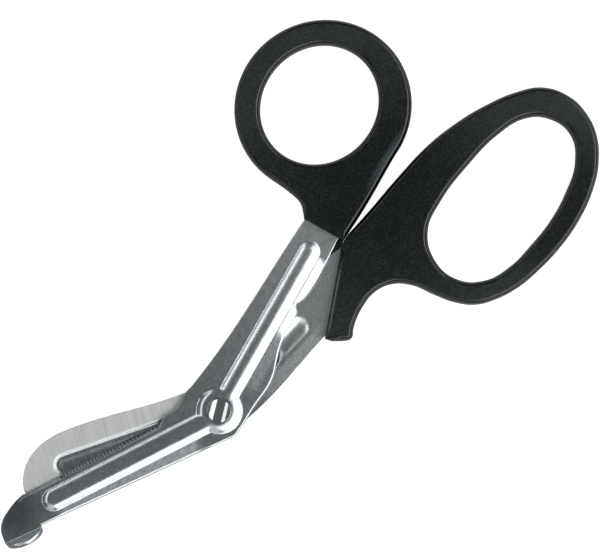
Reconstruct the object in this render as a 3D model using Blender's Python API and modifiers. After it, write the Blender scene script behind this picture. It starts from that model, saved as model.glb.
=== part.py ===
"""Utility shears: two stamped and embossed steel halves on one pivot, with moulded ring handles.

The origin is on the pivot's axis, at the flat back that the shears lie on. +X points to the
handles and +Z to the side with the slotted screw head. Lengths are metres, angles degrees.
"""

import math

import bmesh
import bpy
from mathutils import Matrix, Vector

# Sheet, pressing and clearance
SHEET = 0.0015
GAP = 0.0003
RIB_HEIGHT = 0.0010
BOSS_HEIGHT = 0.0011
PRESS_RADIUS = 0.0030
EDGE_BREAK = 0.00025

# Directions of the steel, from the pivot
FRONT_SHANK_ANGLE = 25.3
REAR_SHANK_ANGLE = 11.9
LOWER_BLADE_ANGLE = 172.1
UPPER_BLADE_ANGLE = 164.2
SPINE_ANGLE = 169.7

# Lower blade, in front
LOWER_BLADE_LENGTH = 0.0662
LOWER_EDGE_OFFSET = 0.0040
SPINE_OFFSET = 0.0078
GRIND_WIDTH = 0.0011
LOWER_GRIND_START = 0.0150
LOWER_GRIND_END = 0.0600
TOOTH_PITCH = 0.0010
TOOTH_DEPTH = 0.00028
TOOTH_START = 0.0165
TOOTH_END = 0.0560

# Heel of the front half, below the pivot
HEEL_ALONG = -0.0011

# Folded foot at the lower blade's toe
FOOT_LENGTH = 0.0106
FOOT_DEPTH = 0.0040
FOOT_FOLD = 55.0
FOLD_RADIUS = 0.0008

# Upper blade, behind
UPPER_BLADE_LENGTH = 0.0557
UPPER_EDGE_OFFSET = 0.0053
BACK_OFFSET = 0.0085
UPPER_GRIND_START = 0.0100

# Shanks
FRONT_SHANK_RIGHT = 0.0050
FRONT_SHANK_LEFT = 0.0055
FRONT_HEEL_BULGE = 0.0081
REAR_SHANK_RIGHT = 0.0068
REAR_SHANK_LEFT = 0.0057
EAR_WIDTH = 0.0032
EAR_START = 0.0470

# Ribs: half widths at the foot, the reach of both rounded ends, and how far off the middle line
BLADE_RIB_HALF = 0.0033
SHANK_RIB_HALF = 0.0028
LOWER_RIB_REACH = 0.0496
UPPER_RIB_REACH = 0.0432
FRONT_RIB_REACH = 0.0482
REAR_RIB_REACH = 0.0303
LOWER_RIB_START = 0.0030
RIB_START = 0.0020
LOWER_RIB_OFFSET = 0.0009
REAR_RIB_OFFSET = -0.0003
BOSS_RADIUS = 0.0063

# Tangs inside the handles
TANG_HALF = 0.0038
FRONT_TANG_LENGTH = 0.0165
REAR_TANG_LENGTH = 0.0213
LOCK_HOLE_RADIUS = 0.0018
FRONT_LOCK_DEPTH = 0.0090
REAR_LOCK_DEPTH = 0.0133

# Handles
HANDLE_THICKNESS = 0.0089
HANDLE_ROUND = 0.0012
THUMB_START = 0.0550
THUMB_CENTRE_ALONG = 0.0833
THUMB_CENTRE_ACROSS = 0.0160
THUMB_HALF_LENGTH = 0.0237
THUMB_HALF_WIDTH = 0.0228
THUMB_ANGLE = -3.8
THUMB_HOLE_SHIFT = 0.0011
THUMB_HOLE_HALF_LENGTH = 0.0164
THUMB_HOLE_HALF_WIDTH = 0.0150
THUMB_HOLE_ANGLE = 12.6
THUMB_NECK_RIGHT = 0.0062
THUMB_NECK_LEFT = 0.0056
THUMB_STOCK = 0.0030
STOP_GAP = 0.00045
STOP_OVERLAP = 0.0022
FINGER_FRONT_ANGLE = 44.8
FINGER_FRONT_OFFSET = 0.0240
FINGER_FRONT_REACH = 0.0236
FINGER_REACH = 0.1245

# Pivot
NUT_RADIUS = 0.0039
NUT_THICKNESS = 0.0014
NUT_FLOOR = 0.0009
POST_RADIUS = 0.0023
SCREW_RADIUS = 0.0014
HEAD_RADIUS = 0.00355
HEAD_HEIGHT = 0.0015
HEAD_RIM = 0.0006
SLOT_WIDTH = 0.0020
SLOT_DEPTH = 0.0008
SLOT_ANGLE = 44.6

# Levels of the stack, from the flat back upwards
REAR_OUTER = NUT_THICKNESS + GAP + BOSS_HEIGHT
REAR_INNER = REAR_OUTER + SHEET
FRONT_INNER = REAR_INNER + GAP
FRONT_OUTER = FRONT_INNER + SHEET
HEAD_SEAT = FRONT_OUTER + BOSS_HEIGHT + GAP

# Places that follow from the sizes
FINGER_START = FINGER_FRONT_OFFSET / math.sin(math.radians(FINGER_FRONT_ANGLE - REAR_SHANK_ANGLE))
FRONT_TANG_END = THUMB_START + FRONT_TANG_LENGTH
REAR_TANG_END = FINGER_START + REAR_TANG_LENGTH
FRONT_LOCK_REACH = THUMB_START + FRONT_LOCK_DEPTH
REAR_LOCK_REACH = FINGER_START + REAR_LOCK_DEPTH
STOP_ACROSS = -THUMB_NECK_RIGHT - STOP_GAP

ARC_STEPS = 14
RING_STEPS = 56
TURN_STEPS = 48
EDGE_STOCK = EDGE_BREAK + 0.0001
TOOL_MARGIN = 0.0010


def at(angle, along, across=0.0):
    """The point ALONG a line that leaves the pivot at ANGLE, and ACROSS to the line's left."""
    turn = math.radians(angle)
    x = along * math.cos(turn) - across * math.sin(turn)
    y = along * math.sin(turn) + across * math.cos(turn)
    return Vector((x, y))


def crossing(first_angle, first_across, second_angle, second_across):
    """Where two straight edges meet, each given by its direction and its distance to the left."""
    first = math.radians(first_angle)
    second = math.radians(second_angle)
    spread = math.sin(second - first)
    along = (first_across * math.cos(second - first) - second_across) / spread
    return at(first_angle, along, first_across)


def corner(point):
    """A sharp corner of an outline."""
    return (point[0], point[1], "VECTOR")


def smooth(point):
    """A point that an outline passes through in a smooth curve."""
    return (point[0], point[1], "AUTO")


def arc(centre, radius, start, end, steps):
    """Corners evenly spaced along a circular arc, from START to END degrees."""
    points = []
    for step in range(steps + 1):
        turn = math.radians(start + (end - start) * step / steps)
        points.append(corner(centre + radius * Vector((math.cos(turn), math.sin(turn)))))
    return points


def circle(centre, radius, steps, start=0.0):
    """A closed ring of corners, the first of them at START degrees."""
    return arc(centre, radius, start, start + 360.0 * (steps - 1) / steps, steps - 1)


def oval(centre, half_length, half_width, angle, start, end, steps):
    """Corners along an ellipse whose long axis points at ANGLE, from START to END degrees."""
    points = []
    for step in range(steps + 1):
        turn = math.radians(start + (end - start) * step / steps)
        points.append(corner(centre + at(angle, half_length * math.cos(turn),
                                         half_width * math.sin(turn))))
    return points


def capsule(start, end, radius):
    """A slot shape: two half circles of RADIUS round START and END, joined by straight sides."""
    run = end - start
    heading = math.degrees(math.atan2(run.y, run.x))
    return (arc(end, radius, heading - 90, heading + 90, ARC_STEPS)
            + arc(start, radius, heading + 90, heading + 270, ARC_STEPS))


def material(name, colour, metallic, roughness):
    """A plain surface finish."""
    finish = bpy.data.materials.new(name)
    finish.use_nodes = True
    shader = finish.node_tree.nodes["Principled BSDF"]
    shader.inputs["Base Color"].default_value = (*colour, 1.0)
    shader.inputs["Metallic"].default_value = metallic
    shader.inputs["Roughness"].default_value = roughness
    return finish


def collection(name):
    """A collection in the scene."""
    group = bpy.data.collections.new(name)
    bpy.context.scene.collection.children.link(group)
    return group


def as_mesh_object(maker, group):
    """Turn a curve object into a welded mesh object of the same name."""
    bpy.context.scene.collection.objects.link(maker)
    graph = bpy.context.evaluated_depsgraph_get()
    mesh = bpy.data.meshes.new_from_object(maker.evaluated_get(graph))
    edit = bmesh.new()
    edit.from_mesh(mesh)
    bmesh.ops.remove_doubles(edit, verts=edit.verts, dist=1e-7)
    bmesh.ops.recalc_face_normals(edit, faces=edit.faces)
    edit.to_mesh(mesh)
    edit.free()
    name = maker.name
    place = maker.matrix_world.copy()
    bpy.data.objects.remove(maker)
    body = bpy.data.objects.new(name, mesh)
    body.matrix_world = place
    group.objects.link(body)
    return body


def plate(name, outlines, low, high, group, rounding=0.0, round_steps=0, curve_steps=6, inset=1):
    """A flat piece between two levels: an outline, with any holes, and edges rounded off.

    The outline is where the piece is widest, or with an INSET of 0 the rim of its flat faces.
    """
    curve = bpy.data.curves.new(name, "CURVE")
    curve.dimensions = "2D"
    curve.fill_mode = "BOTH"
    curve.extrude = (high - low) / 2 - rounding
    curve.bevel_depth = rounding
    curve.bevel_resolution = round_steps
    curve.offset = -inset * rounding
    curve.resolution_u = curve_steps
    for points in outlines:
        spline = curve.splines.new("BEZIER")
        spline.bezier_points.add(len(points) - 1)
        spline.use_cyclic_u = True
        for bezier, (x, y, handle) in zip(spline.bezier_points, points):
            bezier.co = (x, y, 0.0)
            bezier.handle_left_type = handle
            bezier.handle_right_type = handle
    maker = bpy.data.objects.new(name, curve)
    maker.location.z = (low + high) / 2
    bpy.context.view_layer.update()
    maker.matrix_world = Matrix.Translation((0, 0, (low + high) / 2))
    return as_mesh_object(maker, group)


def settle(body):
    """Carry an object's place into its mesh, so that its origin is on the pivot's axis."""
    body.data.transform(body.matrix_world)
    body.matrix_world = Matrix.Identity(4)
    return body


def boolean(body, tool, operation):
    """Join a tool to a body, or cut it away."""
    modifier = body.modifiers.new(tool.name, "BOOLEAN")
    modifier.operation = operation
    modifier.solver = "EXACT"
    modifier.object = tool


def hide_tool(tool):
    """Show a tool as wires, and keep it out of pictures."""
    tool.display_type = "WIRE"
    tool.hide_render = True
    return tool


def swell(name, points, height, outer, side):
    """One raised form of the pressing, an outline whose sides fall away in a round shoulder.

    The outline is the flat top. SIDE is 1 where the form stands up and -1 where it stands down
    from the sheet's outer face at level OUTER.
    """
    level = outer + side * (height - PRESS_RADIUS)
    return settle(plate(name, [points], level - PRESS_RADIUS, level + PRESS_RADIUS, tools,
                        rounding=PRESS_RADIUS, round_steps=5, inset=0))


def press(body, name, points, height, outer, side):
    """Press a form through the sheet: add it outside and take the same form from inside."""
    dent = swell(name + "_dent", points, height, outer - side * SHEET, side)
    rise = swell(name + "_rise", points, height, outer, side)
    edit = bmesh.new()
    edit.from_mesh(rise.data)
    middle = Vector((0, 0, outer - side * SHEET / 2))
    everything = edit.verts[:] + edit.edges[:] + edit.faces[:]
    bmesh.ops.bisect_plane(edit, geom=everything, plane_co=middle, plane_no=(0, 0, side),
                           clear_inner=True)
    rim = [edge for edge in edit.edges if edge.is_boundary]
    bmesh.ops.contextual_create(edit, geom=rim)
    bmesh.ops.recalc_face_normals(edit, faces=edit.faces)
    edit.to_mesh(rise.data)
    edit.free()
    boolean(body, hide_tool(rise), "UNION")
    return hide_tool(dent)


def fold(body, angle, offset, degrees):
    """Fold what lies beyond a straight line up towards +Z, as sheet metal, at a true bend radius.

    The line runs at ANGLE, OFFSET to its left. The strip that follows the bend keeps the length
    of the sheet's middle.
    """
    along = Vector((*at(angle, 1.0), 0.0))
    out = Vector((*at(angle, 0.0, 1.0), 0.0))
    middle_radius = FOLD_RADIUS + SHEET / 2
    centre_level = FRONT_OUTER + FOLD_RADIUS
    total = math.radians(degrees)
    strip = middle_radius * total
    edit = bmesh.new()
    edit.from_mesh(body.data)
    bend_steps = 6
    nudge = 0.00002
    for step in range(bend_steps + 1):
        reach = offset + nudge + strip * step / bend_steps
        beyond = [v for v in edit.verts if v.co.dot(out) > reach - 1e-9]
        faces = {f for v in beyond for f in v.link_faces}
        edges = {e for f in faces for e in f.edges}
        verts = {v for f in faces for v in f.verts}
        bmesh.ops.bisect_plane(edit, geom=list(verts) + list(edges) + list(faces),
                               plane_co=out * reach, plane_no=out)
    for vert in edit.verts:
        beyond = vert.co.dot(out) - offset
        if beyond <= 0:
            continue
        turn = total * min(beyond / strip, 1.0)
        rest = max(beyond - strip, 0.0)
        radius = centre_level - vert.co.z
        new_out = offset + radius * math.sin(turn) + rest * math.cos(turn)
        new_level = centre_level - radius * math.cos(turn) + rest * math.sin(turn)
        start = along * vert.co.dot(along)
        vert.co = start + out * new_out + Vector((0, 0, new_level))
    edit.to_mesh(body.data)
    edit.free()


def grind_tool(name, angle, edge, side, start, end, level, up):
    """A box whose face is the slope ground along a cutting edge, from the inner face outwards.

    The edge runs at ANGLE and lies EDGE to its left. SIDE is the side that the waste is on, and
    UP is 1 or -1, the way from the inner face at LEVEL to the outer one.
    """
    slope = math.atan2(SHEET, GRIND_WIDTH)
    length = end - start
    depth = 2.5 * SHEET
    tall = 5 * SHEET
    bpy.ops.mesh.primitive_cube_add(size=1.0)
    tool = bpy.context.object
    tool.name = name
    shape = Matrix.Diagonal((length, depth, tall, 1.0))
    shift = Matrix.Translation((start + length / 2, side * depth / 2, up * tall / 4))
    lean = Matrix.Rotation(side * up * (math.pi / 2 - slope), 4, "X")
    place = (Matrix.Rotation(math.radians(angle), 4, "Z")
             @ Matrix.Translation((0, edge, level)) @ lean @ shift)
    tool.data.transform(place @ shape)
    tool.matrix_world = Matrix.Identity(4)
    move_to(tool, tools)
    return hide_tool(tool)


def tooth_tool(name):
    """Fine three-sided grooves across the lower blade's ground slope, one for each tooth."""
    slope = math.atan2(SHEET, GRIND_WIDTH)
    length = SHEET / math.sin(slope) + 4 * TOOTH_DEPTH
    count = int((TOOTH_END - TOOTH_START) / TOOTH_PITCH) + 1
    edit = bmesh.new()
    for index in range(count):
        along = TOOTH_START + index * TOOTH_PITCH
        foot = Matrix.Translation((along, -LOWER_EDGE_OFFSET, FRONT_INNER))
        lean = Matrix.Rotation(-(math.pi / 2 - slope), 4, "X")
        middle = Matrix.Translation((0, -TOOTH_DEPTH / 2, SHEET / math.sin(slope) / 2))
        point_in = Matrix.Rotation(math.radians(90.0), 4, "Z")
        turn = Matrix.Rotation(math.radians(LOWER_BLADE_ANGLE), 4, "Z")
        bmesh.ops.create_cone(edit, cap_ends=True, segments=3, radius1=1.5 * TOOTH_DEPTH,
                              radius2=1.5 * TOOTH_DEPTH, depth=length,
                              matrix=turn @ foot @ lean @ middle @ point_in)
    mesh = bpy.data.meshes.new(name)
    edit.to_mesh(mesh)
    edit.free()
    tool = bpy.data.objects.new(name, mesh)
    tools.objects.link(tool)
    return hide_tool(tool)


def move_to(body, group):
    """Keep an object in one collection only."""
    for owner in list(body.users_collection):
        owner.objects.unlink(body)
    group.objects.link(body)


def post_hole(name):
    """The round hole for the pivot post, through a whole half."""
    points = circle(Vector((0, 0)), POST_RADIUS + GAP, TURN_STEPS, start=90.0 / TURN_STEPS)
    return hide_tool(settle(plate(name, [points], -TOOL_MARGIN, HEAD_SEAT, tools)))


def lock_hole(name, centre, low, high):
    """The hole in a tang that the moulding fills."""
    points = circle(centre, LOCK_HOLE_RADIUS, 20)
    return hide_tool(settle(plate(name, [points], low - TOOL_MARGIN, high + TOOL_MARGIN, tools)))


def turned(name, profile, group):
    """A round piece: a profile of (radius, level) points turned about the pivot's axis."""
    mesh = bpy.data.meshes.new(name)
    vertices = [(radius, 0.0, level) for radius, level in profile]
    edges = [(index, index + 1) for index in range(len(profile) - 1)]
    mesh.from_pydata(vertices, edges, [])
    body = bpy.data.objects.new(name, mesh)
    group.objects.link(body)
    screw = body.modifiers.new("turning", "SCREW")
    screw.steps = TURN_STEPS
    screw.render_steps = TURN_STEPS
    screw.use_merge_vertices = True
    screw.merge_threshold = 1e-6
    screw.use_smooth_shade = True
    return body


def lower_blade_blank():
    """The outline of the front half, flat, with its foot not yet folded."""
    blade = LOWER_BLADE_ANGLE
    shank = FRONT_SHANK_ANGLE
    toe = LOWER_BLADE_LENGTH
    edge = -LOWER_EDGE_OFFSET - EDGE_STOCK
    shoulder = THUMB_START - GAP
    foot_middle = toe - 0.0003 - FOOT_LENGTH / 2
    points = [
        corner(at(shank, shoulder, FRONT_SHANK_LEFT)),
        smooth(at(shank, 0.0022, 0.0096)),
        smooth(at(blade, 0.0055, -0.0085)),
        smooth(at(blade, 0.0087, -0.0063)),
        smooth(at(blade, 0.0108, -0.0055)),
        corner(at(blade, 0.0137, -0.0052)),
        corner(at(blade, LOWER_GRIND_START, edge)),
        corner(at(blade, toe - 0.0098, edge)),
        smooth(at(blade, toe - 0.0078, -0.0036)),
        smooth(at(blade, toe - 0.0047, -0.0020)),
        smooth(at(blade, toe - 0.0020, -0.0002)),
        smooth(at(blade, toe - 0.0004, 0.0023)),
    ]
    for step in range(ARC_STEPS + 1):
        turn = math.pi * step / ARC_STEPS
        along = foot_middle + FOOT_LENGTH / 2 * math.cos(turn)
        across = SPINE_OFFSET + FOOT_DEPTH * math.sin(turn)
        points.append(corner(at(SPINE_ANGLE, along, across)))
    points += [
        corner(at(SPINE_ANGLE, HEEL_ALONG, SPINE_OFFSET)),
        smooth(at(shank, -0.0004, -0.0073)),
        smooth(at(shank, 0.0053, -0.0075)),
        smooth(at(shank, 0.0126, -FRONT_HEEL_BULGE)),
        smooth(at(shank, 0.0152, -FRONT_HEEL_BULGE + 0.0003)),
        smooth(at(shank, 0.0195, -FRONT_SHANK_RIGHT - 0.0015)),
        smooth(at(shank, 0.0235, -FRONT_SHANK_RIGHT - 0.0005)),
        corner(at(shank, 0.0290, -FRONT_SHANK_RIGHT)),
        corner(at(shank, 0.0327, -FRONT_SHANK_RIGHT)),
        smooth(at(shank, 0.0341, -FRONT_SHANK_RIGHT + 0.0011)),
        smooth(at(shank, 0.0350, -FRONT_SHANK_RIGHT + 0.0011)),
        corner(at(shank, 0.0373, -FRONT_SHANK_RIGHT)),
        corner(at(shank, shoulder, -FRONT_SHANK_RIGHT)),
        corner(at(shank, shoulder, -TANG_HALF)),
        corner(at(shank, FRONT_TANG_END, -TANG_HALF)),
        corner(at(shank, FRONT_TANG_END, TANG_HALF)),
        corner(at(shank, shoulder, TANG_HALF)),
    ]
    return points


def upper_blade_blank():
    """The outline of the rear half."""
    blade = UPPER_BLADE_ANGLE
    shank = REAR_SHANK_ANGLE
    toe = UPPER_BLADE_LENGTH
    edge = UPPER_EDGE_OFFSET + EDGE_STOCK
    front = FINGER_FRONT_ANGLE
    shoulder = -FINGER_FRONT_OFFSET + GAP
    heel = crossing(shank, -REAR_SHANK_RIGHT, blade, edge)
    front_shank = FRONT_SHANK_ANGLE
    ear_end = THUMB_START - 2 * GAP
    return [
        corner(crossing(front, shoulder, front_shank, STOP_ACROSS + GAP)),
        corner(at(front_shank, ear_end, STOP_ACROSS + GAP)),
        corner(at(front_shank, ear_end, STOP_ACROSS + EAR_WIDTH)),
        corner(at(shank, EAR_START, REAR_SHANK_LEFT)),
        corner(at(shank, 0.0060, REAR_SHANK_LEFT + 0.0021)),
        smooth(at(shank + 76.0, 0.0084)),
        corner(at(blade, 0.0060, -BACK_OFFSET + 0.0009)),
        corner(at(blade, toe - 0.0157, -BACK_OFFSET)),
        smooth(at(blade, toe - 0.0108, -BACK_OFFSET + 0.0006)),
        smooth(at(blade, toe - 0.0066, -0.0063)),
        smooth(at(blade, toe - 0.0035, -0.0041)),
        smooth(at(blade, toe - 0.0016, -0.0016)),
        smooth(at(blade, toe - 0.0004, 0.0011)),
        smooth(at(blade, toe - 0.0003, 0.0032)),
        smooth(at(blade, toe - 0.0012, 0.0048)),
        corner(at(blade, toe - 0.0030, edge)),
        corner(heel + at(blade, 0.0012)),
        corner(heel + at(shank, 0.0012)),
        corner(crossing(shank, -REAR_SHANK_RIGHT, front, shoulder)),
        corner(crossing(shank, -TANG_HALF, front, shoulder)),
        corner(at(shank, REAR_TANG_END, -TANG_HALF)),
        corner(at(shank, REAR_TANG_END, TANG_HALF)),
        corner(crossing(shank, TANG_HALF, front, shoulder)),
    ]


def of_loop(x, y):
    """A point of the long handle, given as shares of its reach from the pivot."""
    return (x * FINGER_REACH, y * FINGER_REACH)


def thumb_ring_outlines():
    """The round handle's outline and hole, drawn past its front end, where it is cut square."""
    shank = FRONT_SHANK_ANGLE
    centre = at(shank, THUMB_CENTRE_ALONG, THUMB_CENTRE_ACROSS)
    hole_centre = at(shank, THUMB_CENTRE_ALONG, THUMB_CENTRE_ACROSS + THUMB_HOLE_SHIFT)
    points = [
        corner(at(shank, THUMB_START - THUMB_STOCK, -THUMB_NECK_RIGHT)),
        corner(at(shank, THUMB_START, -THUMB_NECK_RIGHT)),
        smooth(at(shank, THUMB_START + 0.0110, -THUMB_NECK_RIGHT - 0.0006)),
    ]
    points += oval(centre, THUMB_HALF_LENGTH, THUMB_HALF_WIDTH, THUMB_ANGLE, -66.0, 196.0, RING_STEPS)
    points += [
        smooth(at(shank, THUMB_START + 0.0042, THUMB_NECK_LEFT + 0.0063)),
        smooth(at(shank, THUMB_START + 0.0033, THUMB_NECK_LEFT + 0.0031)),
        smooth(at(shank, THUMB_START + 0.0014, THUMB_NECK_LEFT + 0.0011)),
        corner(at(shank, THUMB_START, THUMB_NECK_LEFT)),
        corner(at(shank, THUMB_START - THUMB_STOCK, THUMB_NECK_LEFT)),
    ]
    hole = oval(hole_centre, THUMB_HOLE_HALF_LENGTH, THUMB_HOLE_HALF_WIDTH, THUMB_HOLE_ANGLE,
                0.0, 360.0 * (RING_STEPS - 1) / RING_STEPS, RING_STEPS - 1)
    return [points, hole]


def finger_loop_outlines():
    """The long handle's outline and hole. Its upper front corner meets the thumb ring's neck."""
    front = FINGER_FRONT_ANGLE
    shank = FRONT_SHANK_ANGLE
    outline = [
        corner(at(shank, THUMB_START + STOP_OVERLAP, STOP_ACROSS)),
        smooth(of_loop(0.5012, 0.1647)),
        smooth(of_loop(0.5944, 0.1888)),
        smooth(of_loop(0.6827, 0.2072)),
        smooth(of_loop(0.7606, 0.2120)),
        smooth(of_loop(0.8329, 0.2072)),
        smooth(of_loop(0.9036, 0.1928)),
        smooth(of_loop(0.9566, 0.1679)),
        smooth(of_loop(0.9912, 0.1197)),
        smooth(of_loop(1.0000, 0.0723)),
        smooth(of_loop(0.9928, 0.0241)),
        smooth(of_loop(0.9631, -0.0281)),
        smooth(of_loop(0.9205, -0.0691)),
        smooth(of_loop(0.8586, -0.1060)),
        smooth(of_loop(0.7912, -0.1309)),
        smooth(of_loop(0.7205, -0.1454)),
        smooth(of_loop(0.6667, -0.1494)),
        smooth(of_loop(0.6169, -0.1430)),
        smooth(of_loop(0.5735, -0.1269)),
        smooth(of_loop(0.5398, -0.0964)),
        smooth(of_loop(0.5149, -0.0602)),
        smooth(of_loop(0.4867, -0.0153)),
        smooth(of_loop(0.4514, 0.0112)),
        smooth(of_loop(0.4112, 0.0169)),
        smooth(of_loop(0.3727, 0.0048)),
        smooth(of_loop(0.3518, -0.0064)),
        smooth(of_loop(0.3309, -0.0225)),
        smooth(of_loop(0.3229, -0.0321)),
        smooth(of_loop(0.3157, -0.0353)),
        smooth(of_loop(0.3084, -0.0337)),
        corner(of_loop(0.2811, -0.0169)),
        corner(at(front, FINGER_FRONT_REACH, -FINGER_FRONT_OFFSET)),
        corner(crossing(front, -FINGER_FRONT_OFFSET, shank, STOP_ACROSS)),
    ]
    hole = [
        smooth(of_loop(0.8867, 0.1365)),
        smooth(of_loop(0.9277, 0.1084)),
        smooth(of_loop(0.9470, 0.0538)),
        smooth(of_loop(0.9221, 0.0000)),
        smooth(of_loop(0.8643, -0.0442)),
        smooth(of_loop(0.8072, -0.0723)),
        smooth(of_loop(0.7454, -0.0908)),
        smooth(of_loop(0.6827, -0.1028)),
        smooth(of_loop(0.6193, -0.0964)),
        smooth(of_loop(0.5719, -0.0594)),
        smooth(of_loop(0.5574, 0.0000)),
        smooth(of_loop(0.5815, 0.0594)),
        smooth(of_loop(0.6378, 0.0940)),
        smooth(of_loop(0.7285, 0.1237)),
        smooth(of_loop(0.8233, 0.1414)),
    ]
    return [outline, hole]


def tang_slot(name, points, lock_centre, low):
    """The space for a tang inside a handle, with the moulding's peg left standing in it."""
    peg = circle(lock_centre, LOCK_HOLE_RADIUS - GAP, 20)
    outline = [corner(point) for point in points]
    return hide_tool(settle(plate(name, [outline, peg], low - GAP, low + SHEET + GAP, tools)))


for old in list(bpy.data.objects):
    bpy.data.objects.remove(old)

parts = collection("utility_shears")
tools = collection("cutters")
steel = material("tumbled_stainless_steel", (0.42, 0.44, 0.45), 1.0, 0.28)
ground_steel = material("ground_stainless_steel", (0.60, 0.61, 0.61), 1.0, 0.35)
plastic = material("black_polypropylene", (0.012, 0.014, 0.015), 0.0, 0.45)
screw_steel = material("polished_screw_steel", (0.45, 0.46, 0.47), 1.0, 0.22)

boss_top = BOSS_RADIUS - math.sqrt(PRESS_RADIUS ** 2 - (PRESS_RADIUS - BOSS_HEIGHT) ** 2)
rib_fall = math.sqrt(PRESS_RADIUS ** 2 - (PRESS_RADIUS - RIB_HEIGHT) ** 2)
blade_top = BLADE_RIB_HALF - rib_fall
shank_top = SHANK_RIB_HALF - rib_fall

# Front half: blank, folded foot, pressed ribs and boss, holes, ground edge and teeth
lower_blade = settle(plate("lower_blade", [lower_blade_blank()], FRONT_INNER, FRONT_OUTER, parts,
                           rounding=EDGE_BREAK, curve_steps=5))
fold(lower_blade, SPINE_ANGLE, SPINE_OFFSET, FOOT_FOLD)
dents = [
    press(lower_blade, "front_boss", circle(Vector((0, 0)), boss_top, TURN_STEPS),
          BOSS_HEIGHT, FRONT_OUTER, 1),
    press(lower_blade, "lower_blade_rib",
          capsule(at(LOWER_BLADE_ANGLE, LOWER_RIB_START, LOWER_RIB_OFFSET),
                  at(LOWER_BLADE_ANGLE, LOWER_RIB_REACH, LOWER_RIB_OFFSET), blade_top),
          RIB_HEIGHT, FRONT_OUTER, 1),
    press(lower_blade, "front_shank_rib",
          capsule(at(FRONT_SHANK_ANGLE, RIB_START), at(FRONT_SHANK_ANGLE, FRONT_RIB_REACH),
                  shank_top),
          RIB_HEIGHT, FRONT_OUTER, 1),
]
for dent in dents:
    boolean(lower_blade, dent, "DIFFERENCE")
boolean(lower_blade, post_hole("front_post_hole"), "DIFFERENCE")
boolean(lower_blade, lock_hole("front_lock_hole", at(FRONT_SHANK_ANGLE, FRONT_LOCK_REACH),
                               FRONT_INNER, FRONT_OUTER), "DIFFERENCE")
boolean(lower_blade, grind_tool("lower_grind", LOWER_BLADE_ANGLE, -LOWER_EDGE_OFFSET, -1,
                                LOWER_GRIND_START, LOWER_GRIND_END, FRONT_INNER, 1), "DIFFERENCE")
boolean(lower_blade, tooth_tool("teeth"), "DIFFERENCE")
lower_blade.data.materials.append(steel)

# Rear half: blank, pressed ribs and boss that stand out behind, holes and ground edge
upper_blade = settle(plate("upper_blade", [upper_blade_blank()], REAR_OUTER, REAR_INNER, parts,
                           rounding=EDGE_BREAK, curve_steps=5))
dents = [
    press(upper_blade, "rear_boss", circle(Vector((0, 0)), boss_top, TURN_STEPS),
          BOSS_HEIGHT, REAR_OUTER, -1),
    press(upper_blade, "upper_blade_rib",
          capsule(at(UPPER_BLADE_ANGLE, RIB_START), at(UPPER_BLADE_ANGLE, UPPER_RIB_REACH),
                  blade_top),
          RIB_HEIGHT, REAR_OUTER, -1),
    press(upper_blade, "rear_shank_rib",
          capsule(at(REAR_SHANK_ANGLE, RIB_START),
                  at(REAR_SHANK_ANGLE, REAR_RIB_REACH, REAR_RIB_OFFSET), shank_top),
          RIB_HEIGHT, REAR_OUTER, -1),
]
for dent in dents:
    boolean(upper_blade, dent, "DIFFERENCE")
boolean(upper_blade, post_hole("rear_post_hole"), "DIFFERENCE")
boolean(upper_blade, lock_hole("rear_lock_hole", at(REAR_SHANK_ANGLE, REAR_LOCK_REACH),
                               REAR_OUTER, REAR_INNER), "DIFFERENCE")
boolean(upper_blade, grind_tool("upper_grind", UPPER_BLADE_ANGLE, UPPER_EDGE_OFFSET, 1,
                                UPPER_GRIND_START, UPPER_BLADE_LENGTH + TOOL_MARGIN, REAR_INNER, -1),
        "DIFFERENCE")
upper_blade.data.materials.append(ground_steel)

# Round handle, moulded over the front tang
thumb_ring = settle(plate("thumb_ring", thumb_ring_outlines(), 0.0, HANDLE_THICKNESS, parts,
                          rounding=HANDLE_ROUND, round_steps=2))
waste_half = THUMB_NECK_RIGHT + THUMB_NECK_LEFT
waste_end = THUMB_START - 2 * THUMB_STOCK
front_end = [corner(at(FRONT_SHANK_ANGLE, THUMB_START, side * waste_half)) for side in (-1, 1)]
front_end += [corner(at(FRONT_SHANK_ANGLE, waste_end, side * waste_half)) for side in (1, -1)]
boolean(thumb_ring, hide_tool(settle(plate("thumb_ring_front", [front_end], -TOOL_MARGIN,
                                           HANDLE_THICKNESS + TOOL_MARGIN, tools))), "DIFFERENCE")
thumb_slot = [
    at(FRONT_SHANK_ANGLE, THUMB_START - TOOL_MARGIN, -TANG_HALF - GAP),
    at(FRONT_SHANK_ANGLE, FRONT_TANG_END + GAP, -TANG_HALF - GAP),
    at(FRONT_SHANK_ANGLE, FRONT_TANG_END + GAP, TANG_HALF + GAP),
    at(FRONT_SHANK_ANGLE, THUMB_START - TOOL_MARGIN, TANG_HALF + GAP),
]
boolean(thumb_ring, tang_slot("front_tang_slot", thumb_slot,
                              at(FRONT_SHANK_ANGLE, FRONT_LOCK_REACH), FRONT_INNER), "DIFFERENCE")
thumb_ring.data.materials.append(plastic)

# Long handle, moulded over the rear tang
finger_loop = settle(plate("finger_loop", finger_loop_outlines(), 0.0, HANDLE_THICKNESS, parts,
                           rounding=HANDLE_ROUND, round_steps=2))
mouth = -FINGER_FRONT_OFFSET + TOOL_MARGIN
finger_slot = [
    crossing(REAR_SHANK_ANGLE, -TANG_HALF - GAP, FINGER_FRONT_ANGLE, mouth),
    at(REAR_SHANK_ANGLE, REAR_TANG_END + GAP, -TANG_HALF - GAP),
    at(REAR_SHANK_ANGLE, REAR_TANG_END + GAP, TANG_HALF + GAP),
    crossing(REAR_SHANK_ANGLE, TANG_HALF + GAP, FINGER_FRONT_ANGLE, mouth),
]
boolean(finger_loop, tang_slot("rear_tang_slot", finger_slot,
                               at(REAR_SHANK_ANGLE, REAR_LOCK_REACH), REAR_OUTER), "DIFFERENCE")
finger_loop.data.materials.append(plastic)

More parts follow.
